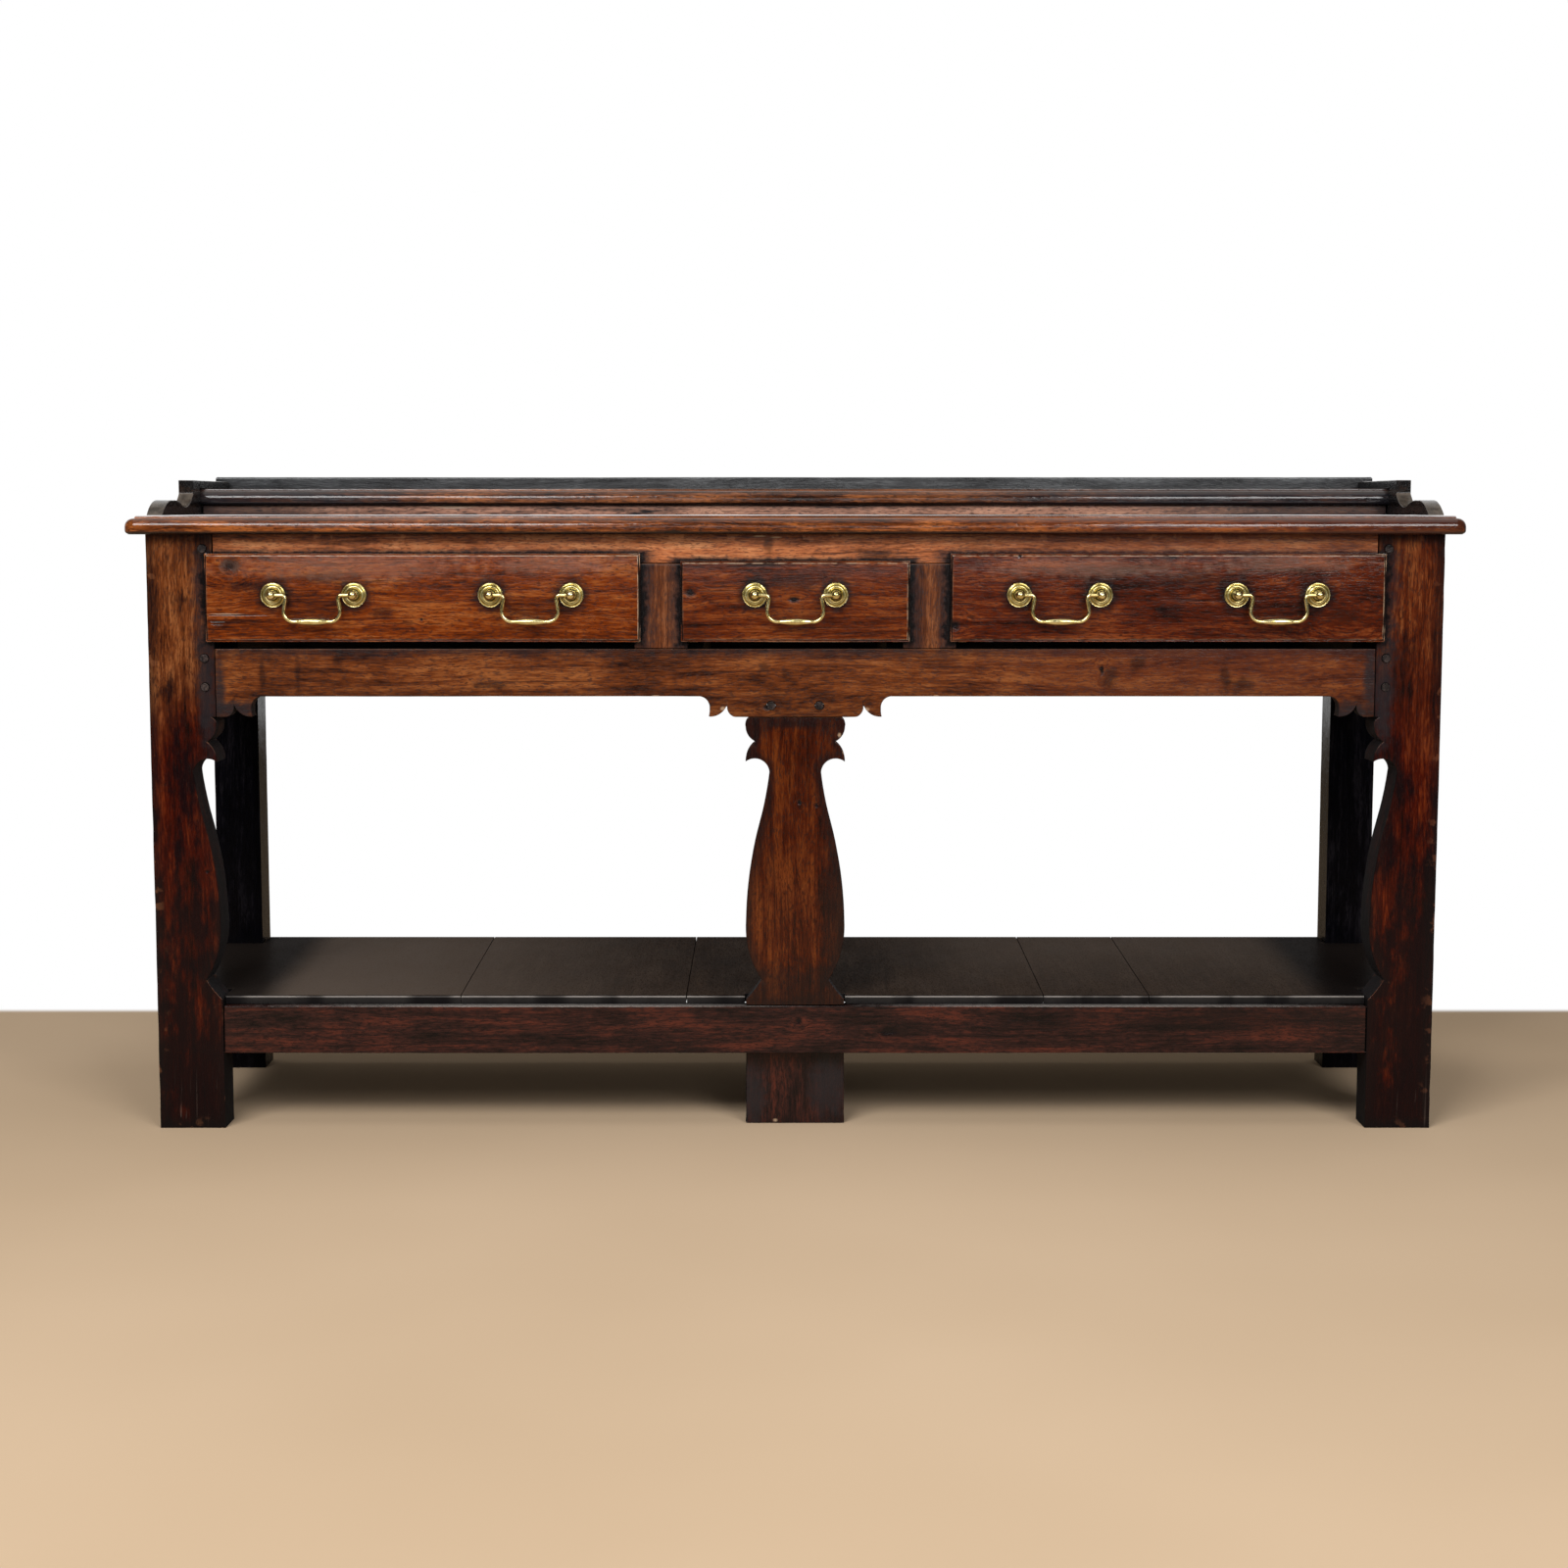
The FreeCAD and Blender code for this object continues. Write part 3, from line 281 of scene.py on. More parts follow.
FINISHES = {
    "leg": finish((0.020, 0.005, 0.002), (0.135, 0.036, 0.009), (0.29, 0.105, 0.034), **LEG),
    "leg_dark": finish((0.014, 0.003, 0.0012), (0.088, 0.016, 0.004), (0.21, 0.063, 0.018), **LEG),
    # The rail's colours are brightened to make up for the shade under the top: painted light
    "rail": finish((0.085, 0.026, 0.011), (0.44, 0.140, 0.050), (0.62, 0.265, 0.112),
                   grime=0.4, gaps=True),
    "divider": finish((0.030, 0.009, 0.005), (0.125, 0.037, 0.013), (0.24, 0.086, 0.034), gaps=True),
    "drawer_orange": finish((0.022, 0.005, 0.002), (0.155, 0.027, 0.003), (0.29, 0.085, 0.018), **DRAWER),
    "drawer_red": finish((0.016, 0.004, 0.002), (0.110, 0.019, 0.0035), (0.22, 0.058, 0.013), **DRAWER),
    "drawer_dark": finish((0.012, 0.003, 0.0015), (0.080, 0.012, 0.003), (0.20, 0.048, 0.012), **DRAWER),
    "apron": finish((0.022, 0.006, 0.003), (0.135, 0.034, 0.008), (0.26, 0.086, 0.024),
                    gaps=True, fret=0.7, edge_shade=0.3),
    "side": finish((0.016, 0.004, 0.002), (0.095, 0.022, 0.006), (0.22, 0.070, 0.020)),
    "splat": finish((0.010, 0.002, 0.0008), (0.055, 0.008, 0.0014), (0.130, 0.029, 0.005),
                    fret=0.7, edge_shade=0.7),
    "stretcher": finish((0.005, 0.003, 0.003), (0.028, 0.010, 0.0085), (0.085, 0.020, 0.012),
                        grime=0.6, edge=0.9, bevel=2.4 * MM),
    "shelf": finish((0.012, 0.007, 0.004), (0.026, 0.015, 0.0095), (0.044, 0.028, 0.018), shelf=True,
                    rough=0.34, shine=0.0006, spread=0.18, stain=0.25, edge=0.2, relief=0.06,
                    bevel=0.2 * MM, wear=0.1 * MM),
    "top": finish((0.010, 0.003, 0.0015), (0.115, 0.027, 0.005), (0.34, 0.100, 0.022), **POLISHED),
    "ledge": finish((0.008, 0.003, 0.002), (0.090, 0.026, 0.008), (0.28, 0.090, 0.026), **POLISHED),
    # The riser's colours are brightened to make up for the shade under the ledge: painted light
    "riser": finish((0.012, 0.009, 0.010), (0.42, 0.205, 0.135), (0.62, 0.330, 0.215),
                    rough=0.15, grime=0.25),
    "backboard": finish((0.004, 0.004, 0.005), (0.046, 0.048, 0.051), (0.12, 0.124, 0.128),
                        shine=0.4, raw=True),
    "gallery_end": finish((0.002, 0.002, 0.002), (0.008, 0.006, 0.005), (0.035, 0.020, 0.014),
                          dust=0.6, raw=True),
    # Nearly black: painted shade on the faces turned to the front and inwards; the back and outer faces get wood
    # colours
    "black": finish((0.0005, 0.0005, 0.0010), (0.0014, 0.0014, 0.0028), (0.010, 0.009, 0.012),
                    shine=0.04, raw=True),
    "peg": finish((0.006, 0.005, 0.005), (0.022, 0.017, 0.016), (0.07, 0.05, 0.045), shine=0.3),
    "bare": finish((0.10, 0.055, 0.022), (0.30, 0.19, 0.10), (0.42, 0.29, 0.17), rough=0.62, shine=0.15,
                   spread=0.12, grime=0.5, stain=0.15, edge=0.1),
    "runner": finish((0.004, 0.003, 0.002), (0.014, 0.009, 0.006), (0.04, 0.03, 0.02),
                     rough=0.6, shine=0.1),
}
GRAIN_AXES = {"X": "XZY", "Y": "YXZ", "Z": "ZXY"}

# Marks on the boards: kind, place and reach in X and Z, in metres
# Some marks are painted light: the sheen on the drawers and the highlight lines on the stretcher's arris
MARKS = {
    "drawer_left_front": (
        ("knot", -0.759, 0.773, 0.017, 0.014), ("smudge", -0.634, 0.757, 0.050, 0.010),
        ("smudge", -0.739, 0.746, 0.030, 0.008), ("smudge", -0.553, 0.711, 0.018, 0.008),
        ("crack", -0.750, 0.7068, 0.055, 0.0012), ("chip", -0.765, 0.7085, 0.026, 0.0010),
        ("crack", -0.655, 0.702, 0.030, 0.0009), ("crack", -0.777, 0.698, 0.012, 0.0010),
        ("crack", -0.778, 0.694, 0.010, 0.0008), ("knot", -0.503, 0.701, 0.003, 0.003),
        ("painted_sheen", -0.60, 0.772, 0.19, 0.020), ("painted_sheen", -0.33, 0.776, 0.09, 0.014)),
    "drawer_center_front": (
        ("knot", -0.142, 0.738, 0.010, 0.008), ("knot", -0.002, 0.7276, 0.009, 0.005),
        ("smudge", -0.002, 0.752, 0.060, 0.014), ("chip", 0.002, 0.6705, 0.115, 0.0010)),
    "drawer_right_front": (
        ("knot", 0.3016, 0.786, 0.004, 0.003), ("knot", 0.214, 0.692, 0.009, 0.008),
        ("eye", 0.735, 0.706, 0.034, 0.017), ("smudge", 0.505, 0.712, 0.022, 0.012),
        ("smudge", 0.524, 0.755, 0.090, 0.014), ("painted_sheen", 0.66, 0.776, 0.11, 0.012),
        ("painted_sheen", 0.40, 0.770, 0.15, 0.014)),
    "apron_rail": (
        ("wash", 0.56, 0.632, 0.34, 0.060), ("smudge", 0.425, 0.622, 0.014, 0.018),
        ("smudge", 0.605, 0.612, 0.020, 0.012), ("knot", 0.415, 0.632, 0.004, 0.010),
        ("smudge", -0.721, 0.626, 0.005, 0.026), ("smudge", -0.673, 0.625, 0.005, 0.028),
        ("smudge", -0.618, 0.646, 0.010, 0.010), ("smudge", 0.5815, 0.624, 0.008, 0.026),
        ("smudge", 0.462, 0.640, 0.012, 0.010), ("smudge", -0.0417, 0.636, 0.008, 0.008),
        ("smudge", -0.011, 0.627, 0.007, 0.006), ("soot", -0.757, 0.577, 0.034, 0.014),
        ("soot", 0.757, 0.577, 0.034, 0.014), ("soot", 0.778, 0.62, 0.010, 0.05),
        ("soot", -0.779, 0.60, 0.008, 0.05), ("smudge", -0.413, 0.612, 0.030, 0.006),
        ("knot", -0.039, 0.5815, 0.006, 0.005), ("knot", 0.033, 0.584, 0.007, 0.004),
        ("chip", 0.096, 0.5785, 0.006, 0.004), ("chip", -0.098, 0.580, 0.004, 0.003),
        ("chip", 0.1905, 0.597, 0.005, 0.0015), ("chip", -0.190, 0.597, 0.007, 0.0015)),
    "top_front_rail": (
        ("wash", 0.56, 0.80, 0.36, 0.030),
        ("smudge", -0.035, 0.802, 0.008, 0.014), ("smudge", -0.250, 0.785, 0.016, 0.008),
        ("smudge", 0.110, 0.788, 0.030, 0.005), ("chip", -0.048, 0.8125, 0.010, 0.0015),
        ("chip", -0.026, 0.811, 0.009, 0.0015)),
    "front_leg_left": (
        ("smudge", -0.796, 0.806, 0.016, 0.012), ("soot", -0.797, 0.600, 0.014, 0.085),
        ("knot", -0.802, 0.357, 0.004, 0.003)),
    "front_leg_right": (("smudge", 0.796, 0.806, 0.014, 0.012), ("soot", 0.797, 0.600, 0.015, 0.085)),
    "center_splat": (
        ("smudge", 0.0, 0.558, 0.060, 0.006), ("smudge", 0.0, 0.198, 0.080, 0.034),
        ("smudge", 0.052, 0.310, 0.020, 0.100), ("crack", 0.004, 0.215, 0.0010, 0.030),
        ("knot", 0.006, 0.452, 0.003, 0.004), ("knot", 0.029, 0.448, 0.003, 0.005),
        ("chip", 0.0600, 0.544, 0.003, 0.004), ("chip", 0.0655, 0.523, 0.002, 0.006)),
    "front_stretcher": (
        ("knot", 0.005, 0.150, 0.007, 0.006), ("knot", 0.1275, 0.136, 0.014, 0.006),
        ("smudge", 0.145, 0.140, 0.040, 0.012), ("smudge", 0.62, 0.150, 0.26, 0.018),
        ("smudge", -0.056, 0.126, 0.030, 0.005),
        ("painted_highlight", -0.350, 0.1705, 0.40, 0.0016), ("painted_highlight", 0.430, 0.1705, 0.36, 0.0014)),
    "center_foot": (
        ("chip", -0.0274, 0.004, 0.004, 0.003), ("soot", 0.046, 0.055, 0.030, 0.055),
        ("soot", -0.060, 0.040, 0.022, 0.050)),
    "pot_board_4": (("chip", 0.3343, 0.182, 0.003, 0.006),),
    "top_board_front": (("smudge", 0.86, 0.84, 0.12, 0.06), ("wash", 0.62, 0.84, 0.40, 0.10)),
    "gallery_shelf": (("stain", -0.76, 0.866, 0.24, 0.08), ("stain", 0.66, 0.866, 0.50, 0.08)),
    "gallery_riser": (
        ("stain", -0.86, 0.85, 0.26, 0.08), ("stain", 0.80, 0.85, 0.36, 0.08),
        ("chip", -0.49, 0.852, 0.035, 0.003), ("chip", 0.36, 0.853, 0.012, 0.002)),
}

# Kinds of marks: colour, share, rise of the surface, raggedness, and where they begin, in reaches
MarkLook = namedtuple("MarkLook", "paint share rise ragged begins")
MARK_LOOKS = {
    "knot": MarkLook(BLACK_WAX_AND_SHADE, 0.95, -1.6, 1.4, 1.1),
    "crack": MarkLook(BLACK_WAX_AND_SHADE, 0.95, -1.6, 0.7, 1.1),
    "chip": MarkLook(BARE_OAK_AND_GLINT, 0.75, -1.0, 0.7, 1.1),
    "painted_highlight": MarkLook(PAINTED_HIGHLIGHT_LINE, 0.9, 0.0, 0.7, 1.1),
    "stain": MarkLook(BLUE_BLACK, 0.8, 0.0, 0.7, 1.1),
    "eye": MarkLook(DARK_RED, 0.5, 0.0, 1.4, 1.1),
    "smudge": MarkLook(GREY_GRIME, 0.6, 0.2, 2.0, 1.3),
    "soot": MarkLook(BLUE_GRIME, 0.85, 0.3, 1.6, 1.3),
    "painted_sheen": MarkLook(PAINTED_SHEEN, 0.27, 0.0, 2.0, 1.3),
    "wash": MarkLook(RED_WASH, 0.36, 0.0, 0.7, 1.3),
}
MARK_FULL = 0.3
GRAIN_PUSHERS = ("knot", "eye")


def post_places(node):
    """Middles of the rosettes of one drawer, read from the bails that hang between them."""
    drawer = node.split("_")[1]
    places = []
    for joint in frame["joints"]:
        if joint["name"].startswith(f"bail_{drawer}"):
            x, _, z = joint["pos_m"]
            places += [(x - POST_OFFSET, z), (x + POST_OFFSET, z)]
    return places


class Oak(Graph):
    """One oak board: its figure, then layers of wear and dirt, and of painted light and shade, painted over each
    other.
    """

    def __init__(self, tree, name, grain, look):
        super().__init__(tree)
        self.name = name
        self.look = look
        place = self.put("TexCoord").outputs
        self.point = place["Object"]
        self.axes = dict(zip("XYZ", self.split(self.point)))
        self.faces = dict(zip("XYZ", self.split(place["Normal"])))
        self.arris = self.put("Attribute", attribute_name="arris").outputs["Fac"]
        self.ragged = self.pattern("ragged", self.point)
        self.masks, push = self.place_marks()
        self.lay_grain(grain, push)

    def pattern(self, name, vector):
        return self.noise(vector, *PATTERNS[name])

    def place_marks(self):
        """How far each point lies inside each mark, and how the grain is pushed aside by knots."""
        masks = []
        push = 0.0
        for kind, x, z, reach_x, reach_z in MARKS.get(self.name, ()):
            mark = MARK_LOOKS[kind]
            across = self.math("DIVIDE", self.math("SUBTRACT", self.axes["X"], x), reach_x)
            up = self.math("DIVIDE", self.math("SUBTRACT", self.axes["Z"], z), reach_z)
            away = self.distance(across, up)
            edge = self.fray(away, self.ragged, mark.ragged)
            masks.append((mark, self.step(edge, mark.begins, MARK_FULL)))
            if kind in GRAIN_PUSHERS:
                near = self.math("EXPONENT", self.times(self.times(away, away), KNOT_FADE))
                push = self.blend((self.times(up, near), KNOT_PUSH * reach_z), (push, 1.0))
        return masks, push

    def lay_grain(self, grain, push):
        """The patterns that run along the grain: broad bands, fine strands, pores, checks and patches."""
        seeded = random.Random(self.name)
        shift = [seeded.uniform(-GRAIN_SHIFT, GRAIN_SHIFT) for _ in range(3)]
        turned = self.join(*[self.axes[letter] for letter in GRAIN_AXES[grain]])
        self.lie = self.put("Mapping", {"Vector": turned, "Location": shift}).outputs[0]
        drift = self.blend((self.pattern("slow", self.lie), 0.045), (push, 1.0))
        bent = {0: self.lie, 1: self.join(0.0, drift, drift)}
        self.fibre = self.put("VectorMath", bent, operation="ADD").outputs[0]
        self.bands = self.pattern("bands", self.fibre)
        self.strands = self.pattern("strands", self.fibre)
        self.pores = self.step(self.pattern("pores", self.fibre), 0.54, 0.64)
        self.checks = self.step(self.pattern("checks", self.fibre), 0.66, 0.72)
        self.patches = self.pattern("patches", self.lie)
        self.shade = self.blend((self.bands, 0.34), (self.strands, 0.28), (self.patches, 0.38))

    def paint(self, share, colour):
        """Lays a colour over what is painted so far."""
        self.colour = self.mix(share, self.colour, colour)

    def paint_figure(self):
        """The three colours of the wood, its dark pores and checks, and black blots."""
        deep = self.look["deep"]
        spread = self.look["spread"]
        stops = ((0.5 - spread, deep), (0.5, self.look["body"]), (0.5 + spread, self.look["bright"]))
        self.colour = self.ramp(self.shade, stops)
        self.paint(self.times(self.math("MAXIMUM", self.pores, self.checks), 0.66), deep)
        blots = self.step(self.pattern("blots", self.lie), 0.56, 0.74)
        self.paint(self.times(blots, self.look["stain"]), BLACK_WAX_AND_SHADE)

    def paint_back_and_end(self):
        """A back that was never polished, and an outer end that was, darkening with soot and painted shade towards
        the floor.
        """
        self.paint(self.step(self.faces["Y"], 0.4, 0.7), self.ramp(self.shade, DRY_BACK))
        height = self.fray(self.axes["Z"], self.patches, 0.4)
        sooty_and_shaded = self.step(height, *END_SOOT_AND_SHADE_HEIGHT, 0.0, 0.85)
        waxed = self.mix(sooty_and_shaded, self.ramp(self.shade, WAXED_END), SOOT_AND_SHADE_RED)
        outward = self.times(self.axes["X"], self.faces["X"])
        self.paint(self.step(outward, 0.4, 0.7), waxed)

    def paint_soot_and_shade(self):
        """Red at half the height, then nearly black: soot and painted shade towards the floor, with pale scratches
        just above the floor.
        """
        height = self.fray(self.axes["Z"], self.patches, 0.3)
        self.paint(self.step(height, *EMBER_HEIGHT), self.ramp(self.shade, EMBERS))
        sooty_and_shaded = self.blend((self.pattern("soot", self.lie), 1.0), (self.axes["Z"], -0.50))
        self.paint(self.step(sooty_and_shaded, 0.22, 0.40, 0.0, 0.9), SOOT_AND_SHADE_RED)
        scratches = self.step(self.pattern("scratches", self.fibre), 0.64, 0.70)
        low = self.step(self.axes["Z"], *SCRATCH_HEIGHT, 0.0, 0.35)
        self.paint(self.times(scratches, low), PALE_SCRATCH)

    def gap_from_drawers(self):
        """Distance from the nearest drawer front, counted four times above it."""
        nearest = 1.0
        for low, high in DRAWER_FACES:
            beside = self.math("SUBTRACT", self.axes["X"], (low[0] + high[0]) / 2)
            beside = self.math("SUBTRACT", self.math("ABSOLUTE", beside), (high[0] - low[0]) / 2)
            above = self.times(self.math("SUBTRACT", self.axes["Z"], high[2]), 4.0)
            below = self.math("SUBTRACT", low[2], self.axes["Z"])
            outside = self.math("MAXIMUM", beside, self.math("MAXIMUM", above, below))
            nearest = self.math("MINIMUM", nearest, outside)
        return nearest

    def paint_drawer_dirt_and_shadow(self):
        """Dirt gathered round the drawers, and painted shadow in black right beside them."""
        gap = self.fray(self.gap_from_drawers(), self.ragged, 36 * MM)
        self.paint(self.step(gap, *DRAWER_GRIME_GAP, 0.0, 0.75), BLUE_GRIME)
        self.paint(self.step(gap, *DRAWER_SHADOW_GAP, 0.0, 0.92), BLACK_WAX_AND_SHADE)

    def paint_shelf_light_and_shade(self):
        """A shelf with a painted reflection at the left and behind, painted shade in black beside the legs, and a
        black nose with a painted highlight line.
        """
        x = self.axes["X"]
        facing = self.faces["Y"]
        # Painted reflection at the left and behind, and painted shade in black beside the legs
        self.paint(self.step(x, *SHELF_REFLECTION_X, 0.0, 0.85), SHELF_REFLECTION)
        behind = self.step(self.axes["Y"], *SHELF_BACK_REFLECTION_Y, 0.12, 0.5)
        self.paint(self.times(self.step(x, *SHELF_BACK_REFLECTION_X), behind), SHELF_REFLECTION)
        self.paint(self.step(self.math("ABSOLUTE", x), *SHELF_SHADE_X, 0.0, 0.85), BLACK_WAX_AND_SHADE)
        # The nose black, with a painted highlight line along its rounding
        self.paint(self.step(facing, -0.30, -0.45), BLACK_WAX_AND_SHADE)
        nose = self.times(self.step(facing, -0.60, -0.72), self.step(facing, -0.995, -0.95, 0.12, 1.0))
        lengths = self.step(self.pattern("lengths", self.point), 0.36, 0.56, 0.25, 0.95)
        self.paint(self.times(nose, lengths), PAINTED_HIGHLIGHT_LINE)

    def paint_edge_shade(self):
        """A board that darkens towards its edges."""
        inset = self.put("Attribute", attribute_name="inset").outputs["Fac"]
        uneven = self.fray(inset, self.patches, 0.6)
        self.paint(self.step(uneven, 0.62, 0.10, 0.0, self.look["edge_shade"]), GREY_GRIME)

    def paint_rosette_dirt(self):
        """Dirt round each rosette."""
        for x, z in post_places(self.name):
            away = self.distance(self.axes["X"], self.axes["Z"], x, z)
            uneven = self.fray(away, self.ragged, 20 * MM)
            self.paint(self.step(uneven, *ROSETTE_GRIME_GAP, 0.0, 0.85), GREY_GRIME)

    def paint_shadow_under_moulding(self):
        """Painted shadow: a black line low on the moulding."""
        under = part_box(self.name)[0][2]
        begins, full = MOULDING_SHADOW_LINE
        self.paint(self.step(self.axes["Z"], under + begins, under + full, 0.0, 0.95), BLACK_WAX_AND_SHADE)

    def wear_and_highlight_arrises(self):
        """Arrises worn pale, with a painted highlight, where they face up, and elsewhere black with a few pale
        chips.
        """
        upward = self.step(self.faces["Z"], 0.1, 0.5)
        chipped = self.step(self.pattern("chips", self.point), 0.60, 0.68)
        rubbed_and_lit = self.math("MAXIMUM", upward, self.times(chipped, 0.35))
        pale = [min(1.0, 1.2 * channel + 0.03) for channel in self.look["bright"]]
        worn = self.mix(rubbed_and_lit, BLACK_WAX_AND_SHADE, pale)
        self.paint(self.times(self.arris, self.look["edge"]), worn)

    def paint_lip_glints_and_shade(self):
        """The lip of a drawer: painted shade in black on its sides and underside, with broken painted glints where
        its rounding begins, mostly on the right, and along its upper rounding.
        """
        downward = self.times(self.faces["Z"], -1.0)
        aside = self.math("MAXIMUM", self.math("ABSOLUTE", self.faces["X"]), downward)
        broken = self.step(self.ragged, 0.36, 0.60, 0.05, 0.75)
        right = self.step(self.faces["X"], -0.1, 0.2, 0.2, 1.0)
        glint = self.times(self.step(aside, 0.06, 0.2), right)
        self.paint(self.times(glint, broken), BARE_OAK_AND_GLINT)
        self.paint(self.step(aside, 0.3, 0.5, 0.0, 0.96), BLACK_WAX_AND_SHADE)
        lit = self.times(self.step(self.faces["Z"], 0.2, 0.4), self.step(self.faces["Z"], 0.8, 0.65))
        self.paint(self.times(lit, broken), BARE_OAK_AND_GLINT)

    def gather_grime(self):
        """Black wax and painted shade in corners and hollows, darker where less of the room is open to a point."""
        open_air = self.put("AmbientOcclusion", {"Distance": 0.04}, samples=4).outputs["AO"]
        exposed = self.blend((open_air, 1.0), (self.patches, 0.4), (self.arris, 0.25))
        self.grime = self.step(exposed, 1.04, 0.62, 0.0, self.look["grime"])
        self.paint(self.grime, BLACK_WAX_AND_SHADE)

    def paint_marks(self):
        """The board's own marks, which also sink or rise a little."""
        self.height = self.blend((self.pores, -0.12), (self.checks, -0.15))
        for mark, mask in self.masks:
            self.paint(self.times(mask, mark.share), mark.paint)
            self.height = self.blend((mask, mark.rise), (self.height, 1.0))

    def lay_dust(self):
        """Dust and painted sheen on slopes that face up, but not on level faces, which are wiped."""
        turn = self.faces["Z"]
        start = self.look["dust_from"]
        sloping = self.times(self.step(turn, start, start + 0.35), self.step(turn, 0.999, 0.97))
        thick = self.step(self.ragged, 0.3, 0.65, 0.2, self.look["dust"])
        self.paint(self.times(sloping, thick), DUST_AND_SHEEN)

    def add_surface(self):
        """The bump, the roughness and the shader, with fretted edges left rough and dark."""
        look = self.look
        dents = self.pattern("dents", self.lie)
        relief = self.blend((self.bands, 0.3), (self.strands, 0.3), (dents, 1.0), (self.height, 1.0))
        bump = self.put("Bump", {"Strength": look["relief"], "Distance": 1.2 * MM, "Height": relief})
        haze = self.pattern("haze", self.lie)
        base = look["rough"] - 0.11
        rough = self.blend((haze, 0.22), (self.pores, 0.12), (self.grime, 0.12), (1.0, base))
        if look["fret"]:
            inner = self.step(self.math("ABSOLUTE", self.axes["X"]), *FRETTED_X)
            sawn = self.times(self.step(self.math("ABSOLUTE", self.faces["Y"]), 0.7, 0.3), inner)
            rough = self.blend((sawn, look["fret"]), (rough, 1.0))
            self.paint(self.times(sawn, 0.75), BLACK_WAX_AND_SHADE)
        self.surface(self.put("BsdfPrincipled", {
            "Base Color": self.colour, "Roughness": rough, "Normal": bump.outputs[0],
            "Specular IOR Level": look["shine"], "Coat Weight": look["coat"], "Coat Roughness": 0.04,
            "Coat Normal": bump.outputs[0]}))


def oak(name, grain, tone):
    """Waxed oak with its grain along one axis of the piece."""
    look = FINISHES[tone]
    material = new_material("oak_" + name)
    board = Oak(material.node_tree, name, grain, look)
    board.paint_figure()
    if look["raw"]:
        board.paint_back_and_end()
    if look["soot_and_shade"]:
        board.paint_soot_and_shade()
    if look["gaps"]:
        board.paint_drawer_dirt_and_shadow()
    if look["shelf"]:
        board.paint_shelf_light_and_shade()
    if look["edge_shade"]:
        board.paint_edge_shade()
    if look["lipped"]:
        board.paint_rosette_dirt()
    if look["moulded"]:
        board.paint_shadow_under_moulding()
    board.wear_and_highlight_arrises()
    if look["lipped"]:
        board.paint_lip_glints_and_shade()
    board.gather_grime()
    board.paint_marks()
    if look["dust"]:
        board.lay_dust()
    board.add_surface()
    return material


def old_brass(posts=()):
    """Cast brass, rubbed bright on its rounds and dark in its hollows and in the grooves round the posts."""
    material = new_material("old_brass")
    g = Graph(material.node_tree)
    point = g.put("TexCoord").outputs["Object"]
    cloud = g.noise(point, 90, 90, 4.0, 0.6)
    grit = g.noise(point, 900, 900, 2.0)
    hollow = g.put("AmbientOcclusion", {"Distance": 4 * MM}, samples=8).outputs["AO"]
    dirt = g.step(g.blend((hollow, 1.0), (cloud, 0.25)), 1.02, 0.66)
    across, _, up = g.split(point)
    for x, z in posts:
        away = g.distance(across, up, x, z)
        for radius, width in ROSETTE_GROOVES:
            off = g.math("ABSOLUTE", g.math("SUBTRACT", away, radius))
            uneven = g.blend((off, 1.0), (cloud, 0.6 * MM))
            dirt = g.math("MAXIMUM", dirt, g.step(uneven, width + 0.3 * MM, 0.3 * MM))
    colour = g.mix(g.times(dirt, 0.92), g.ramp(cloud, BRASS_TONES), BRASS_DIRT)
    rough = g.blend((cloud, 0.16), (dirt, 0.30), (1.0, 0.12))
    relief = g.blend((cloud, 1.0), (grit, 0.4))
    bump = g.put("Bump", {"Strength": 0.10, "Distance": 0.3 * MM, "Height": relief})
    g.surface(g.put("BsdfPrincipled", {
        "Base Color": colour, "Metallic": 1.0, "Roughness": rough, "Normal": bump.outputs[0]}))
    return material


# Worn copies of the boards

def cuts(low, high, cell):
    count = max(1, round((high - low) / cell))
    return [low + (high - low) * k / count for k in range(1, count)]


def rests(vert):
    """Whether a point lies where the frame meets the floor or the top."""
    return any(abs(vert.co.z - height) < 0.2 * MM for height in RESTING_HEIGHTS)


def board_mesh(node, width, cell):
    """The node's shape with rounded arrises, sliced fine enough to be worn uneven."""
    shape = bmesh.new()
    shape.from_mesh(frame["nodes"][node].data)
    bmesh.ops.remove_doubles(shape, verts=shape.verts, dist=WELD)
    bmesh.ops.dissolve_limit(shape, angle_limit=FLAT_ANGLE, verts=shape.verts, edges=shape.edges)
    sharp = [edge for edge in shape.edges if edge.is_manifold and edge.calc_face_angle() > SHARP_ANGLE]
    for edge in sharp:
        edge.smooth = not all(rests(vert) for vert in edge.verts)
    sharp = [edge for edge in sharp if edge.smooth]
    bmesh.ops.bevel(shape, geom=sharp, offset=width, offset_type="OFFSET", segments=2, profile=0.5,
                    affect="EDGES", clamp_overlap=False)
    low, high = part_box(node)
    for axis in range(3):
        normal = Vector([float(axis == k) for k in range(3)])
        for place in cuts(low[axis], high[axis], cell):
            everything = shape.verts[:] + shape.edges[:] + shape.faces[:]
            bmesh.ops.bisect_plane(shape, geom=everything, dist=0.001 * MM, plane_co=normal * place,
                                   plane_no=normal)
    shape.normal_update()
    return shape


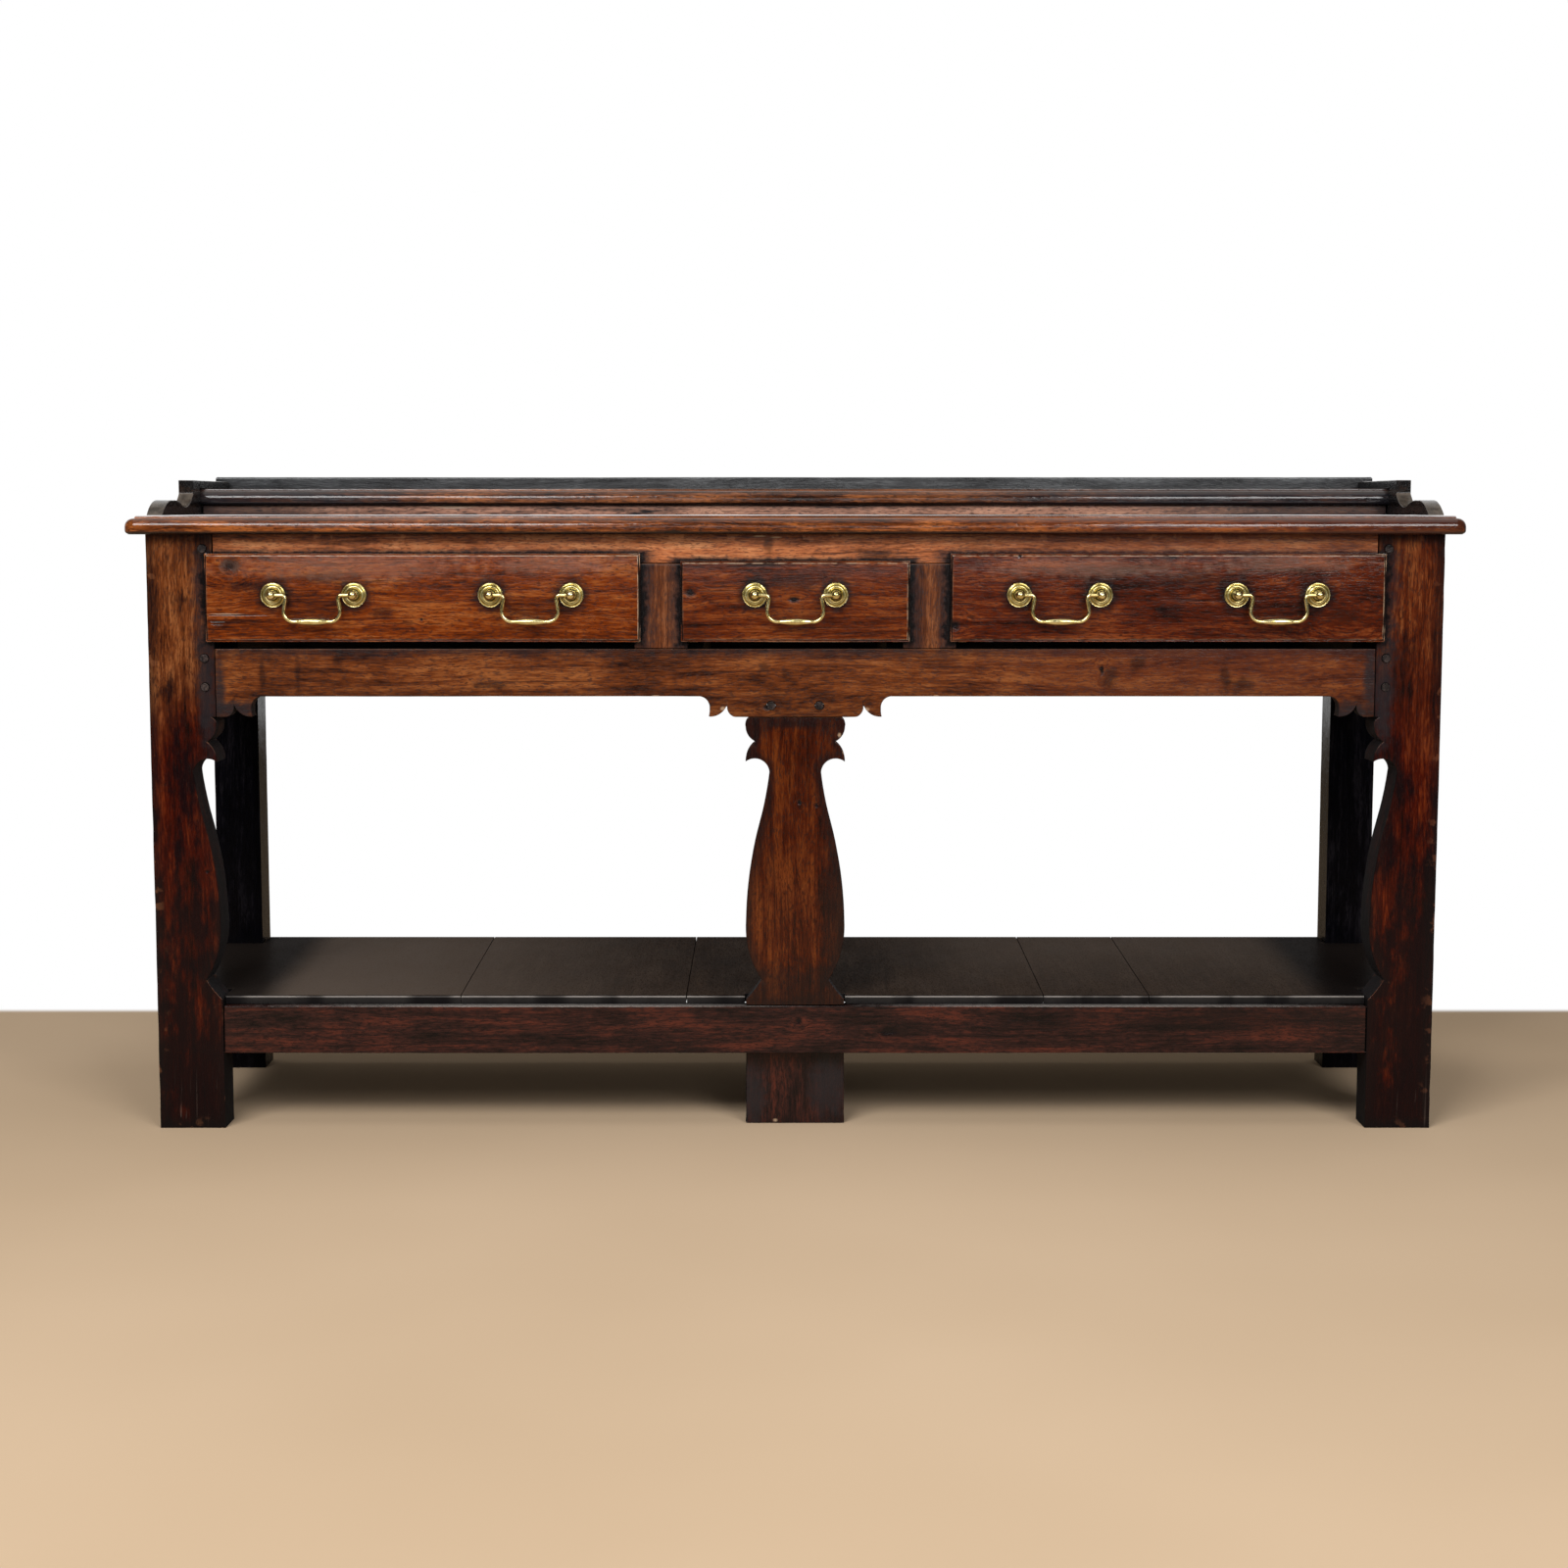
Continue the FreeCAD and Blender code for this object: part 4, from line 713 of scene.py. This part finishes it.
def wear_down(shape, seed, dish, dent, crown):
    """Moves the surface inwards, unevenly, and marks the rounded arrises."""
    heights = [vert.co.z for vert in shape.verts]
    middle = (max(heights) + min(heights)) / 2
    half = (max(heights) - min(heights)) / 2
    arris = shape.verts.layers.float.new("arris")
    moves = []
    for vert in shape.verts:
        turn = min((face.normal.dot(vert.normal) for face in vert.link_faces), default=1.0)
        vert[arris] = 1.0 if turn < ARRIS_TURN else 0.0
        spot = vert.co + seed
        depth = dish * (0.5 + 0.5 * noise.noise(spot * DISH_WAVES))
        depth += dent * max(0.0, noise.noise(spot * DENT_WAVES))
        if vert.normal.y < -0.5:
            depth += crown * ((vert.co.z - middle) / half) ** 2
        if vert[arris]:
            depth += NICK_SHARE * dent * max(0.0, noise.noise(spot * NICK_WAVES))
        move = -depth * vert.normal
        if rests(vert):
            move.z = 0.0
        moves.append(move)
    for vert, move in zip(shape.verts, moves):
        vert.co += move
        vert.co.z = max(vert.co.z, 0.0)


def measure_inset(shape, reach):
    """Stores how far each point lies from the nearest arris, as a share of the reach."""
    arris = shape.verts.layers.float["arris"]
    inset = shape.verts.layers.float.new("inset")
    edges = [vert.co for vert in shape.verts if vert[arris]]
    tree = KDTree(len(edges))
    for index, place in enumerate(edges):
        tree.insert(place, index)
    tree.balance()
    for vert in shape.verts:
        _, _, away = tree.find(vert.co)
        vert[inset] = min(1.0, away / reach)


def add_piece(name, shape, node, material):
    """Puts a finished mesh on the body of the node that it stands for."""
    mesh = bpy.data.meshes.new(name)
    shape.to_mesh(mesh)
    shape.free()
    mesh.shade_smooth()
    piece = bpy.data.objects.new(name, mesh)
    SCENE.collection.objects.link(piece)
    mesh.materials.append(material)
    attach(piece, BODY_OF[node])
    return piece


def worn_board(node, grain, tone):
    """A worn, dished and dented copy of a board, which takes the board's place."""
    look = FINISHES[tone]
    shape = board_mesh(node, look["bevel"], CELL)
    seeded = random.Random(node)
    seed = Vector([seeded.uniform(-WEAR_SHIFT, WEAR_SHIFT) for _ in range(3)])
    crown = DRAWER_CROWN if look["lipped"] else 0.0
    wear_down(shape, seed, look["wear"], DENT_SHARE * look["wear"], crown)
    measure_inset(shape, EDGE_SHADE_REACH)
    piece = add_piece(node + ".worn", shape, node, oak(node, grain, tone))
    flat = piece.modifiers.new("flat_faces", "WEIGHTED_NORMAL")
    flat.keep_sharp = True
    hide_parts(node)


# Boards that show: node, axis of the grain and finish
BOARDS = (
    ("front_leg_left", "Z", "leg"), ("front_leg_right", "Z", "leg_dark"),
    ("rear_leg_left", "Z", "black"), ("rear_leg_right", "Z", "black"),
    ("top_front_rail", "X", "rail"), ("apron_rail", "X", "apron"),
    ("drawer_divider_left", "Z", "divider"), ("drawer_divider_right", "Z", "divider"),
    ("side_panel_left", "Y", "side"), ("side_panel_right", "Y", "side"), ("back_panel", "X", "black"),
    ("front_stretcher", "X", "stretcher"), ("back_stretcher", "X", "black"),
    ("side_stretcher_left", "Y", "black"), ("side_stretcher_right", "Y", "black"),
    ("center_splat", "Z", "splat"), ("center_foot", "Z", "stretcher"),
    ("pot_board_1", "Y", "shelf"), ("pot_board_2", "Y", "shelf"), ("pot_board_3", "Y", "shelf"),
    ("pot_board_4", "Y", "shelf"), ("pot_board_5", "Y", "shelf"),
    ("top_board_front", "X", "top"), ("top_board_rear", "X", "top"),
    ("gallery_end_left", "Y", "gallery_end"), ("gallery_end_right", "Y", "gallery_end"),
    ("gallery_riser", "X", "riser"), ("gallery_shelf", "X", "ledge"), ("gallery_back", "X", "backboard"),
    ("drawer_left_front", "X", "drawer_orange"), ("drawer_center_front", "X", "drawer_red"),
    ("drawer_right_front", "X", "drawer_dark"),
)
for node, grain, tone in BOARDS:
    worn_board(node, grain, tone)


# Hidden boards and fittings keep the shapes of the frame

def dress(node, material, arris=None):
    piece = frame["nodes"][node]
    piece.data.materials.clear()
    piece.data.materials.append(material)
    if arris:
        weld = piece.modifiers.new("weld", "WELD")
        weld.merge_threshold = WELD
        bevel = piece.modifiers.new("arris", "BEVEL")
        bevel.width = arris
        bevel.segments = 2
        bevel.angle_limit = HIDDEN_ANGLE


BRASS = old_brass()
for node in frame["nodes"]:
    if node.endswith("_rosettes"):
        dress(node, old_brass(post_places(node)))
    elif SLOT_OF[node] == "brass":
        dress(node, BRASS)
    elif SLOT_OF[node] == "oak_inner":
        run = "X" if node.endswith(("_back", "_bottom")) else "Y"
        tone = "runner" if node.startswith("runner") else "bare"
        dress(node, oak(node, run, tone), HIDDEN_ARRIS)
dress("joint_pegs", oak("joint_pegs", "Y", "peg"), PEG_ARRIS)


# Floor, light and camera

FLOOR_HALF_X = 6.0
FLOOR_HALF_Y = 4.5
FLOOR_MIDDLE_Y = 1.9
WALL_LINE = 0.60
WALL_BLUR = 0.04

# Lights: name, place, target, size and power in watts
LIGHTS = (
    ("window", (-1.6, -3.5, 3.2), (0, 0, 0.5), (2.2, 1.6), 138),
    ("lamp", (1.8, -4.1, 2.6), (0, 0, 0.5), (1.8, 1.5), 97),
    ("fill", (0.0, -4.6, 1.45), (0, 0, 1.0), (3.2, 0.8), 18),
    ("ceiling", (0.0, -0.3, 3.2), (0, 0, 0.5), (4.0, 2.4), 26),
)
CAMERA_PLACE = (-0.0152, -3.638, 0.848)
CAMERA_TILT = 6.165
CAMERA_LENS = 58.32
CAMERA_SENSOR = 36.0


def pale_floor():
    """A warm pale floor in front of the wall line, white behind it."""
    material = new_material("pale_floor")
    g = Graph(material.node_tree)
    point = g.put("TexCoord").outputs["Object"]
    depth = g.split(point)[1]
    colour = g.ramp(g.noise(point, 0.8, 0.8), FLOOR_TONES)
    behind = g.step(depth, WALL_LINE, WALL_LINE + WALL_BLUR)
    ground = g.put("BsdfPrincipled", {"Base Color": colour, "Roughness": 0.7, "Specular IOR Level": 0.0})
    wall = g.put("Emission", {"Color": WHITE, "Strength": 1.0})
    seen = g.times(behind, g.put("LightPath").outputs["Is Camera Ray"])
    g.surface(g.put("MixShader", {0: seen, 1: ground.outputs[0], 2: wall.outputs[0]}))
    return material


def add_floor():
    mesh = bpy.data.meshes.new("floor")
    shape = bmesh.new()
    bmesh.ops.create_grid(shape, x_segments=10, y_segments=8, size=1.0)
    stretch = Matrix.Diagonal((FLOOR_HALF_X, FLOOR_HALF_Y, 1.0, 1.0))
    bmesh.ops.transform(shape, verts=shape.verts, matrix=stretch)
    bmesh.ops.translate(shape, verts=shape.verts, vec=(0.0, FLOOR_MIDDLE_Y, 0.0))
    shape.to_mesh(mesh)
    shape.free()
    floor = bpy.data.objects.new("floor", mesh)
    SCENE.collection.objects.link(floor)
    mesh.materials.append(pale_floor())


def add_world():
    """A plain room: a white wall behind the dresser, dimmer in front of it."""
    world = bpy.data.worlds.new("room")
    SCENE.world = world
    world.use_nodes = True
    g = Graph(world.node_tree)
    backward = g.split(g.put("TexCoord").outputs["Generated"])[1]
    mirrored = g.put("Background", {"Color": WHITE, "Strength": g.step(backward, 0.3, 0.85, 0.08, 1.0)})
    soft = g.put("Background", {"Color": WARM_WHITE, "Strength": g.step(backward, 0.0, 0.9, 0.10, 0.22)})
    white = g.put("Background", {"Color": WHITE, "Strength": 1.0})
    path = g.put("LightPath").outputs
    sharp = g.math("MAXIMUM", path["Is Glossy Ray"], path["Is Transmission Ray"])
    light = g.put("MixShader", {0: sharp, 1: soft.outputs[0], 2: mirrored.outputs[0]})
    shown = g.put("MixShader", {0: path["Is Camera Ray"], 1: light.outputs[0], 2: white.outputs[0]})
    g.put("OutputWorld", {"Surface": shown.outputs[0]})


def add_light(name, place, target, size, power):
    data = bpy.data.lights.new(name, "AREA")
    data.shape = "RECTANGLE"
    data.size, data.size_y = size
    data.energy = power
    lamp = bpy.data.objects.new(name, data)
    lamp.location = place
    lamp.rotation_euler = (Vector(target) - Vector(place)).to_track_quat("-Z", "Y").to_euler()
    SCENE.collection.objects.link(lamp)


def add_camera():
    data = bpy.data.cameras.new("camera")
    data.sensor_width = CAMERA_SENSOR
    data.lens = CAMERA_LENS
    camera = bpy.data.objects.new("camera", data)
    camera.location = CAMERA_PLACE
    camera.rotation_euler = (math.radians(90 - CAMERA_TILT), 0.0, 0.0)
    SCENE.collection.objects.link(camera)
    SCENE.camera = camera


add_floor()
add_world()
for light in LIGHTS:
    add_light(*light)
add_camera()
SCENE.view_settings.view_transform = "Standard"
